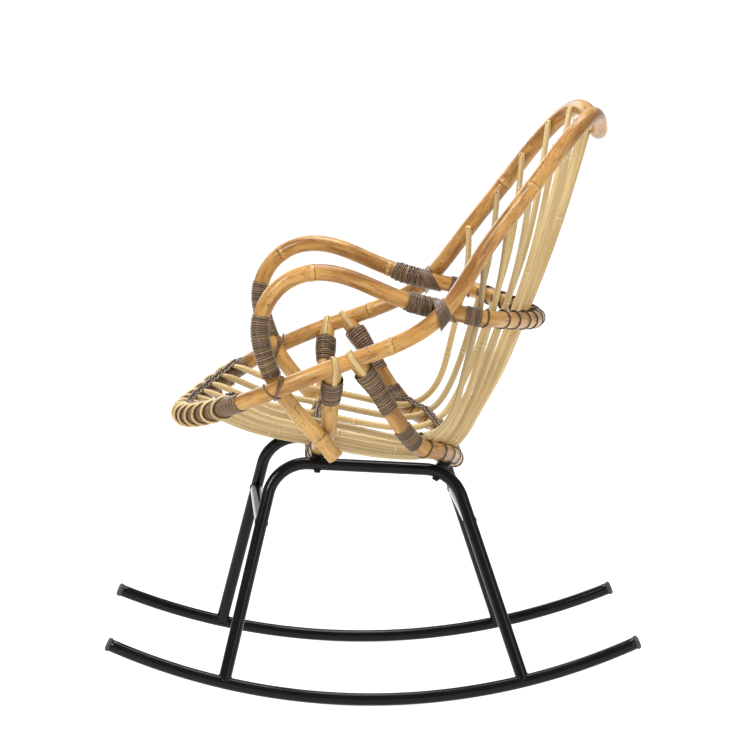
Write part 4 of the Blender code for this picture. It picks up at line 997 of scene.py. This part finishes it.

# %% [markdown]
# ## Peel
#
# The bindings are peel: the pole's own skin, split off in a thin strip and wound wet. Dry, it is grey
# brown with a dull shine, and no two turns are quite the same shade. Each strip's two edges are painted
# dark, a painted shade for the groove where one turn meets the next.

# %% The peel's finish


def brown_peel():
    """Grey brown with streaks along it, a shade of its own for each turn, and painted shade at the edges.
    """
    made = Finish("brown_peel", Coat_Weight=0.26, Coat_Roughness=0.14, IOR=1.45)
    grain = made.memory("grain", "Vector")
    tone = made.memory("tone")
    streak = made.noise(grain, (1500, 500, 30), 3.0)
    drift = made.noise(grain, (100, 100, 14), 2.0)
    peel = made.mix(tone, tint(70, 49, 32), tint(138, 107, 71))
    peel = made.mix(made.step(drift, 0.35, 0.70) * 0.5, peel, tint(100, 72, 44))
    peel = made.mix(made.step(streak, 0.50, 0.72) * 0.55, peel, tint(60, 43, 30))
    peel = made.mix(made.step(streak, 0.52, 0.28) * 0.40, peel, tint(168, 136, 96))
    # Painted shade: the strip's edges go nearly black, standing for the shade in the groove between turns.
    edge = made.step(made.memory("ring"), 0.46, 0.92)
    made.feed(Base_Color=made.mix(edge * 0.92, peel, tint(26, 18, 13)))
    made.feed(Roughness=0.28 + 0.18 * streak)
    made.feed(Normal=made.relief(streak, 0.0002, 0.5))
    return made.done()


peel_finish = brown_peel()

# %% [markdown]
# ## Windings
#
# A winding is a strip laid in a helix round a pole. A curve with a flat bevel twists on bends, so the
# strip is worked out instead: the angle runs on turn after turn, the place along the pole follows it,
# and the strip's outer side always faces away from the pole. A slight waver keeps it hand made.

# %% A helix of peel
EDGE_END = 0.226
SLOW_HAND, QUICK_HAND, LOOSE_HAND = 0.00022, 0.00012, 0.00014
# Pitch and width of three kinds of strip.
FINE, PLAIN, BROAD = (0.0026, 0.0025), (0.0034, 0.0032), (0.0042, 0.0039)


def shade_of(count, seed):
    """A shade from zero to one for each whole turn, the same at every run."""
    return (np.sin(count * 12.9898 + seed * 3.7) * 43758.5453) % 1


def winding(line, start, stop, inner, pitch, width, thickness=0.0018, pale=0.0, seed=0.0, per_turn=22):
    """Helix: centre(s) + (inner + t/2) (cos a N + sin a B), with s rising by one pitch for each turn.

    The inner reach is one number, or a row of them spread evenly from start to stop.
    """
    turns = max(1, round(abs(stop - start) / pitch))
    angle = np.linspace(0, turns * ROUND, turns * per_turn + 1)
    place = start + (stop - start) * angle / angle[-1]
    place = place + SLOW_HAND * np.sin(angle * 0.37 + seed) + QUICK_HAND * np.sin(angle * 1.7 + 2 * seed)
    inner = np.atleast_1d(inner)
    bar = np.interp(angle / angle[-1], np.linspace(0, 1, len(inner)), inner)
    out = around(*ring_frame(line, place, to_middle), angle)
    lift = bar + thickness / 2 + LOOSE_HAND * np.sin(angle * 0.61 + 3 * seed)
    tone = pale + (1 - pale) * shade_of(np.floor(angle / ROUND), seed)
    return strip(line.at(place) + out * lift[:, None], out, width, thickness, tone, seed=seed)


edge_line = Line(hoop.at(np.linspace(-0.36, 0.36, 721)))
edge_start, edge_stop = edge_line.where(ACROSS, -EDGE_END), edge_line.where(ACROSS, EDGE_END)
edge = winding(edge_line, edge_start, edge_stop, POLE, *FINE, pale=0.5, seed=1.0)
dress("front_edge_peel", [edge], peel_finish, "front_edge_binding")
print("front edge has", round((edge_stop - edge_start) / FINE[0]), "turns")

# %% Wraps on the arms and posts
ARM_RAIL = (0.2386, -0.1445, 0.4825)
ARM_WRAP_ENDS = np.array((0.0150, 0.106))
FRONT_POST_REACH = (0.0145, 0.0151, 0.0151, 0.0140, 0.0127)
REAR_POST_REACH = (0.0155, 0.0153, 0.0140, 0.0128, 0.0125, 0.0125, 0.0125)
LOWER_WRAP_ENDS = ((0.2390, 0.0400, 0.4140), (0.2215, 0.0620, 0.3900))
for side, sign in SIDES:
    one_arm, front_post, rear_post = (on_side(line, sign) for line in (arm, front_support, rear_support))
    arm_ends = one_arm.nearest(on_side(ARM_RAIL, sign)) + ARM_WRAP_ENDS
    hoop_ends = [one_arm.where(AHEAD, place) for place in (0.1345, 0.1560)]
    lower_ends = [rear_post.nearest(on_side(spot, sign)) for spot in LOWER_WRAP_ENDS]
    wraps = {
        "arm_wrap": (one_arm, *arm_ends, POLE, *PLAIN),
        "hoop_end_wrap": (one_arm, *hoop_ends, POLE, *FINE),
        "front_post_wrap": (front_post, 0.0225, 0.0640, FRONT_POST_REACH, *PLAIN),
        "rear_post_upper_wrap": (rear_post, 0.0215, 0.0980, REAR_POST_REACH, *BROAD),
        "rear_post_lower_wrap": (rear_post, *lower_ends, POLE, *PLAIN),
    }
    for seed, (name, values) in enumerate(wraps.items(), start=2):
        dress(f"{side}_{name}_peel", [winding(*values, seed=float(seed))], peel_finish, f"{side}_{name}")
print("five wraps on each side")

# %% [markdown]
# ## Joints
#
# Where the arm passes the upright, fine turns cross each other on the arm, and a fan of turns goes
# round arm and upright together. A loop pulled tight round two bars follows the outline of both at
# once: in every direction of its plane it touches whichever bar reaches further. The plane itself
# swings as the turns go on, about a line through the tip of the fan, and the tip creeps along the arm.

# %% Loops pulled tight round two bars
PAIR_MIDDLE = 0.236
PAIR_ROOM, PAIR_OVERLAP, PAIR_SHADE = 0.0004, 0.0003, 0.35
TIE_STRIP = (0.0027, 0.0022)
LEAD_ANGLES, LEAD_POINTS, LEAD_LIFT = np.radians((104, -88)), 30, 0.0012


def support_points(line, place, normal, middle, way, radius):
    """In a plane, the point of a slanted bar that reaches furthest each way, and how far that is."""
    axis, core = line.way(place), line.at(place)
    slant = dot(normal, axis)
    core = core + axis * dot(middle - core, normal) / slant
    minor = unit(np.cross(normal, axis))
    major = np.cross(minor, normal)
    pull = minor * dot(way, minor) + major * dot(way, major) / slant**2
    reach = np.sqrt(dot(pull, way))
    return core + pull / reach * radius, dot(core - middle, way) + reach * radius


def fan_round_pair(pair, sign, turns, lean, tips, width, thickness, seed, per_turn=30):
    """Loops round two bars in planes that run straight across the chair.

    In the side view each plane is a line: its normal leans by an angle that goes from the first to the
    last of two, and it passes through a tip that moves from the first to the last of two spots.
    """
    angle = np.linspace(0, ROUND * turns, turns * per_turn + 1)[:, None]
    share = angle / angle[-1]
    normal = around(AHEAD, UP, np.radians(lean[0] + (lean[1] - lean[0]) * share))
    across = ACROSS * sign
    way = around(np.cross(normal, across), across, angle)
    first, last = (np.array((PAIR_MIDDLE * sign, *tip)) for tip in tips)
    middle = first + share * (last - first)
    (one, one_reach), (two, two_reach) = (
        support_points(line, place, normal, middle, way, POLE + PAIR_ROOM) for line, place in pair
    )
    lift = thickness / 2 + PAIR_OVERLAP * np.sin(angle * 0.3) ** 2
    touch = np.where(one_reach > two_reach, one, two) + way * lift
    tone = PAIR_SHADE * shade_of(np.floor(angle[:, 0] / ROUND), seed)
    return strip(touch, way, width, thickness, tone, seed=seed)


def lead_over(line, start, stop, sign):
    """The wrap's own end led over the rail: an arc round it from above to below, creeping along it."""
    place = np.linspace(start, stop, LEAD_POINTS)
    out, third = ring_frame(line, place, everywhere(ACROSS * sign))
    way = around(out, -sign * third, np.linspace(*LEAD_ANGLES, LEAD_POINTS))
    return strip(line.at(place) + way * (POLE + LEAD_LIFT), way, *TIE_STRIP, 0.3, seed=11.5)


# %% Wraps, fans and ties where the arm meets the hoop
JOINT_SPOTS = ((0.2252, 0.1080, 0.5881), (0.2476, 0.1101, 0.6000))
RAIL_SPOTS = (ARM_RAIL, (0.2613, -0.1517, 0.4735))
JOINT_ROOM, JOINT_WRAP, CROSSED_WRAP = 0.014, 0.052, 0.046
JOINT_STRIP, CROSSED_STRIP, CROSSED_LIFTS = (0.0027, 0.0025), (0.0092, 0.0024), (0.0013, 0.0017)
FAN_TURNS, FAN_LEAN, FAN_STRIP = 12, (15, 28), (0.0021, 0.0021)
FAN_TIPS = ((0.0890, 0.5935), (0.1100, 0.5905))
TIE_TURNS, TIE_LEAN, TIE_TIP = 2, (-6, -24), (-0.1453, 0.4649)
LEAD_ENDS = (-0.1585, -0.1440)
for side, sign in SIDES:
    one_arm, one_hoop = on_side(arm, sign), on_side(hoop, sign)
    joint, rail = (
        [(pole, pole.nearest(on_side(spot, sign))) for pole, spot in zip((one_arm, one_hoop), spots)]
        for spots in (JOINT_SPOTS, RAIL_SPOTS)
    )
    stop = joint[0][1] - JOINT_ROOM
    crossed = stop - CROSSED_WRAP
    layers = [
        winding(one_arm, stop - JOINT_WRAP, stop, POLE, *JOINT_STRIP, seed=8.0),
        winding(one_arm, stop, crossed, POLE + CROSSED_LIFTS[0], *CROSSED_STRIP, seed=9.0),
        winding(one_arm, crossed, stop, POLE + CROSSED_LIFTS[1], *CROSSED_STRIP, seed=9.5),
    ]
    dress(f"{side}_joint_wrap_peel", layers, peel_finish, f"{side}_joint_wrap")
    fan = fan_round_pair(joint, sign, FAN_TURNS, FAN_LEAN, FAN_TIPS, *FAN_STRIP, 10.0)
    dress(f"{side}_joint_fan_peel", [fan], peel_finish, f"{side}_joint_lashing")
    loops = fan_round_pair(rail, sign, TIE_TURNS, TIE_LEAN, (TIE_TIP, TIE_TIP), *TIE_STRIP, 11.0)
    lead = lead_over(one_hoop, *(one_hoop.where(AHEAD, place) for place in LEAD_ENDS), sign)
    dress(f"{side}_rail_tie_peel", [loops, lead], peel_finish, f"{side}_rail_tie")
print("joint wraps, fans and rail ties on both sides")

# %% [markdown]
# ## Ties under the canes
#
# Nearly every crossing of a cane and a pole is tied. On the sitter's side the turns lie next to each
# other over the cane, and behind the pole they gather in one ring. A strand could be drawn by hand for
# each of the thirty-seven ties, but one rule gives them all: the strand runs round the pole's circle,
# and near the cane it steps from one flank of it to the other, lifted over it by the cane's own circle.

# %% Ties over canes
TIE_POINTS, TIE_EVEN, TIE_TONE, TIE_SHADE = 57, 0.22, 0.12, 0.2
TIE_ROOM, TIE_LIFT, TIE_RISE = 0.0015, 0.0009, 0.0004
NEAR_CANE, OVER_CANE, BEHIND, FADE = 0.45, 0.30, 2.2, 1.3


def crossing(line, cane):
    """The pole's axis, the cane's axis and the pole's direction where the two come closest."""
    gaps = np.linalg.norm(line.points[:, None] - cane.points[None, ::3], axis=2)
    place = line.marks[gaps.min(1).argmin()]
    return line.at(place), cane.points[::3][gaps.min(0).argmin()], line.way(place)


def tie(line, cane, rows, seed, width=0.0023, thickness=0.0015):
    """Turns round a pole and over its cane, one for each given place along the cane.

    The angle runs round the pole, closer spaced near the cane. The step along the pole is a sine
    between the cane's flanks that fades behind the pole; the height over the cane is its circle.
    """
    core, touch, along = crossing(line, cane)
    inward = square_to(touch - core, along)
    third = np.cross(along, inward)
    even_run = np.linspace(-1, 1, TIE_POINTS)
    angle = np.tile(np.pi * (TIE_EVEN * even_run + (1 - TIE_EVEN) * even_run**3), len(rows))
    row = np.repeat(np.asarray(rows, float), TIE_POINTS)
    lift = TIE_LIFT + TIE_RISE * np.arange(len(angle)) / len(angle)
    fade = np.clip((BEHIND - np.abs(angle)) / FADE, 0, 1)
    flank = CANE + TIE_ROOM
    slide = flank * np.sin(np.pi / 2 * np.clip(angle / OVER_CANE, -1, 1)) * fade + 0.1 * row
    over = np.sqrt(np.clip((CANE + lift) ** 2 - slide**2, 0, None))
    near = (np.abs(angle) < NEAR_CANE) & (over > 0)
    height = np.where(near, dot(touch - core, inward)[0] + over, (POLE + lift) * np.cos(angle))
    beside = (POLE + lift) * np.sin(angle) + row * np.clip(1.6 - np.abs(angle), 0, 1)
    spots = core + inward * height[:, None] + third * beside[:, None] + along * slide[:, None]
    out = around(inward, third, angle) + along * np.where(near, 1.2 * slide / flank, 0.0)[:, None]
    tone = TIE_TONE + TIE_SHADE * shade_of(row * 900, seed)
    return strip(spots, out, width, thickness, tone, sides=8, square=0.55, seed=seed)


for name, line, tied, rows, seed in (
    ("back_hoop_lashing", arm, canes, (-0.0026, 0.0, 0.0026), 12.0),
    ("front_support_lashing", front_support, canes[1:-1], (0.0,), 13.0),
    ("rear_support_lashing", rear_support, canes, (0.0,), 14.0),
):
    ties = [tie(line, cane, rows, seed + k) for k, cane in enumerate(tied)]
    dress(name + "_peel", ties, peel_finish, name)
    print(name, "ties", len(tied), "canes with", len(rows), "turns each")

# %% [markdown]
# ## Plaits across the canes
#
# Along the front edge, and over both supports, strands are plaited from cane to cane on the sitter's
# side, which keeps the canes evenly spaced. A flat plait is two waves: each strand sways from side to
# side by a sine, rises and dips twice as often, and the three strands follow a third of a turn apart.

# %% Three plaited strands
TWINE_BACK = 0.0020
STRAND_STRIP = (0.0039, 0.0026)
STRANDS, STRAND_LIFT, STRAND_WAVE = 3, 0.0015, 0.0010
STEPS_PER_CANE, PAST_ENDS = 80, 0.45


def plait(cores, tops, seed, sway=0.0033, dip=0.45):
    """Strands over a row of canes: foot + (height + b sin 2t) rise + a sin t lean, a turn for each cane."""
    count = len(cores)
    share = np.linspace(-PAST_ENDS, count - 1 + PAST_ENDS, STEPS_PER_CANE * count)
    steps = np.arange(-1, count + 1)

    def along_row(values):
        """Values given for each cane, read all along the row and carried on past both ends."""
        longer = np.vstack([2 * values[:1] - values[1:2], values, 2 * values[-1:] - values[-2:-1]])
        return np.stack([np.interp(share, steps, column) for column in longer.T], axis=-1)

    foot, reach = along_row(cores), along_row(np.linalg.norm(tops - cores, axis=1)[:, None])
    heading = unit(np.gradient(foot, axis=0))
    rise = square_to(along_row(unit(tops - cores)), heading)
    lean = np.cross(heading, rise)
    sag = dip * CANE * (1 - np.cos(ROUND * share)[:, None]) / 2
    strands = []
    for k in range(STRANDS):
        turn = ROUND * (share + k / STRANDS)[:, None]
        height = reach + STRAND_LIFT - sag + STRAND_WAVE * np.sin(2 * turn)
        centre = foot + rise * height + lean * sway * np.sin(turn)
        strands.append(strip(centre, rise, *STRAND_STRIP, 0.10 + 0.12 * k, square=0.8, seed=seed + k))
    return strands


crests = np.array([cane.at(cane.leave + TWINE_BACK) for cane in canes])
edge_cores = np.array([edge_line.at(edge_line.nearest(spot)) for spot in crests])
edge_tops = crests + unit(crests - edge_cores) * CANE * HOOK_THIN
dress("front_twine_peel", plait(edge_cores, edge_tops, 15.0, dip=0.30), peel_finish, "front_twine")
for name, line, tied, seed in (
    ("front_support", front_support, canes[1:-1], 20.0), ("rear_support", rear_support, canes, 25.0),
):
    cores, touches, _ = (np.array(found) for found in zip(*(crossing(line, cane) for cane in tied)))
    tops = touches + unit(touches - cores) * CANE
    dress(name + "_plait", plait(cores, tops, seed), peel_finish)
print("three plaits across the canes")

# %% [markdown]
# ## Straps
#
# The supports hang from the rails by short straps of split cane, bent over the rail, with both ends
# tucked under the wrap on the post. A strap's path is two straight legs joined by the half outline
# of the rail, which is an oval because the rail passes at a slant.

# %% Four hanger straps
STRAP_STRIP = (0.0078, 0.0022)
STRAP_ROOM, STRAP_CREST, POST_SPAN = 0.0011, 0.0012, 0.05
STRAP_LEG, LEG_POINTS, BOW_POINTS = (0.029, 0.002), 10, 30
STRAP_SPOTS = {"front": (0.2764, -0.060, 0.5111), "rear": (0.2757, -0.030, 0.5221)}


def strap(line, rail_spot, post, sign):
    """A strip over the rail: leg, half oval of radius R over the rail, leg."""
    mark = line.nearest(rail_spot)
    rail_way, drop = line.way(mark), unit(post.at(POST_SPAN) - post.at(0.0))
    beside = unit(np.cross(rail_way, drop)) * sign
    across = np.cross(drop, beside)
    slant = abs(rail_way @ across)
    reach = POLE + STRAP_ROOM
    angle = np.linspace(0, np.pi, BOW_POINTS)
    leg, still = np.linspace(*STRAP_LEG, LEG_POINTS), np.full(LEG_POINTS, reach)
    aside = np.concatenate([still, reach * np.cos(angle), -still])[:, None] * beside
    down = np.concatenate([leg, -(reach / slant + STRAP_CREST) * np.sin(angle), leg[::-1]])[:, None]
    out = aside + np.minimum(down, 0) * drop
    centre = line.at(mark) + aside + down * drop
    surface = strip(centre, out, *STRAP_STRIP, 0.12, sides=14, square=0.7, seed=17.0 + mark)
    surface["ring"] = np.ones(surface["ring"].shape)
    return surface


for side, sign in SIDES:
    for name, support in (("front", front_support), ("rear", rear_support)):
        spot, post = on_side(STRAP_SPOTS[name], sign), on_side(support, sign)
        hanger = strap(on_side(hoop, sign), spot, post, sign)
        dress(f"{side}_{name}_hanger", [hanger], cane_finish, f"{side}_{name}_strap")
print("four straps")

# %% [markdown]
# ## Nails
#
# Each cane's top is pinned to the hoop with one small nail. Its head is a low dome, a handful of faces.

# %% Nail heads
NAIL_FROM_END = 0.0035
NAIL_PROFILE = ((-0.0010, 0.0002, 0.0005, 0.0007), (0.0011, 0.0011, 0.0008, 0.0002))


def nail(cane):
    """A low dome on a cane's top: a few rings about the way inward, which the nail's head faces."""
    spot = cane.at(cane.length - NAIL_FROM_END) + cane.inward * CANE * CANE_TAPER
    return turned(spot, cane.inward, np.cross(cane.inward, UP + 0.3 * ACROSS), NAIL_PROFILE, circle)


nails = [nail(cane) for cane in canes]
dress("cane_nails", nails, bolt_finish)
print(len(nails), "nails")

# %% [markdown]
# ## Floor, light and camera
#
# The floor is a wide pale sheet that glows a little, so that it stays white into the distance and
# keeps only the faintest shadow, as in a catalogue picture. Four large soft lights draw long
# highlights on poles and tubes, and the camera stands nearly six metres off, a little above the
# chair, with a long lens, which keeps near and far sides almost the same size.

# %% The floor
WHITE = (1.0, 1.0, 1.0, 1.0)
FLOOR_SIZE, FLOOR_DROP = 90.0, 0.0002
paper = Finish(
    "floor_paper", Roughness=0.9, Specular_IOR_Level=0.1, Emission_Color=WHITE, Emission_Strength=0.86,
)
fleece = paper.noise(paper.spot(), (3, 3, 3), 2.0)
paper.feed(Base_Color=paper.mix(fleece, tint(165, 165, 164), tint(170, 170, 170)))
corners = np.array(((-1, -1, 0), (1, -1, 0), (1, 1, 0), (-1, 1, 0))) * FLOOR_SIZE - (0, 0, FLOOR_DROP)
floor_mesh = bpy.data.meshes.new("floor")
floor_mesh.from_pydata(corners.tolist(), [], [(0, 1, 2, 3)])
floor_mesh.materials.append(paper.material)
floor = placed("floor", floor_mesh)
print("floor", 2 * FLOOR_SIZE, "m wide")

# %% The lights
LIGHTS = (
    ("key", (2.6, -2.2, 3.2), (0, 0, 0.45), 1.5, 110),
    ("fill", (3.2, 2.6, 1.8), (0, 0, 0.5), 2.2, 34),
    ("far", (-3.0, -1.4, 2.2), (0, 0, 0.5), 2.2, 45),
    ("top", (-0.4, 0.3, 3.6), (0, 0, 0.5), 1.8, 88),
)


def soft_light(name, place, aim, size, power):
    """A square soft light at a place, turned towards an aim."""
    lamp = bpy.data.lights.new(name, "AREA")
    lamp.size = size
    lamp.energy = power
    light = placed(name, lamp)
    light.location = place
    light.rotation_euler = (Vector(aim) - Vector(place)).to_track_quat("-Z", "Y").to_euler()


for light in LIGHTS:
    soft_light(*light)
world = bpy.data.worlds.new("studio")
world.use_nodes = True
sky = world.node_tree.nodes["Background"].inputs
sky["Color"].default_value = WHITE
sky["Strength"].default_value = 0.52
bpy.context.scene.world = world
bpy.context.scene.view_settings.view_transform = "Standard"
print("an even white sky and", len(LIGHTS), "soft lights")

# %% The camera
CAMERA_PLACE = (5.6593, -0.1641, 1.1710)
YAW, PITCH, ROLL = 0.03047, 0.12403, 0.00177
FOCAL_LENGTH, SENSOR_WIDTH, SIGHT = 178.18, 36.0, 300.0
forward = np.array((-math.cos(PITCH) * math.cos(YAW), math.cos(PITCH) * math.sin(YAW), -math.sin(PITCH)))
level = unit(np.cross(forward, UP))
raised = np.cross(level, forward)
right = level * math.cos(ROLL) + raised * math.sin(ROLL)
top = raised * math.cos(ROLL) - level * math.sin(ROLL)
lens = bpy.data.cameras.new("camera")
lens.lens = FOCAL_LENGTH
lens.sensor_width = SENSOR_WIDTH
lens.clip_end = SIGHT
camera = placed("camera", lens)
turn = np.eye(4)
turn[:3, :3] = np.column_stack([right, top, -forward])
turn[:3, 3] = CAMERA_PLACE
camera.matrix_world = Matrix(turn.tolist())
bpy.context.scene.camera = camera
print("camera", [round(value, 3) for value in camera.location])
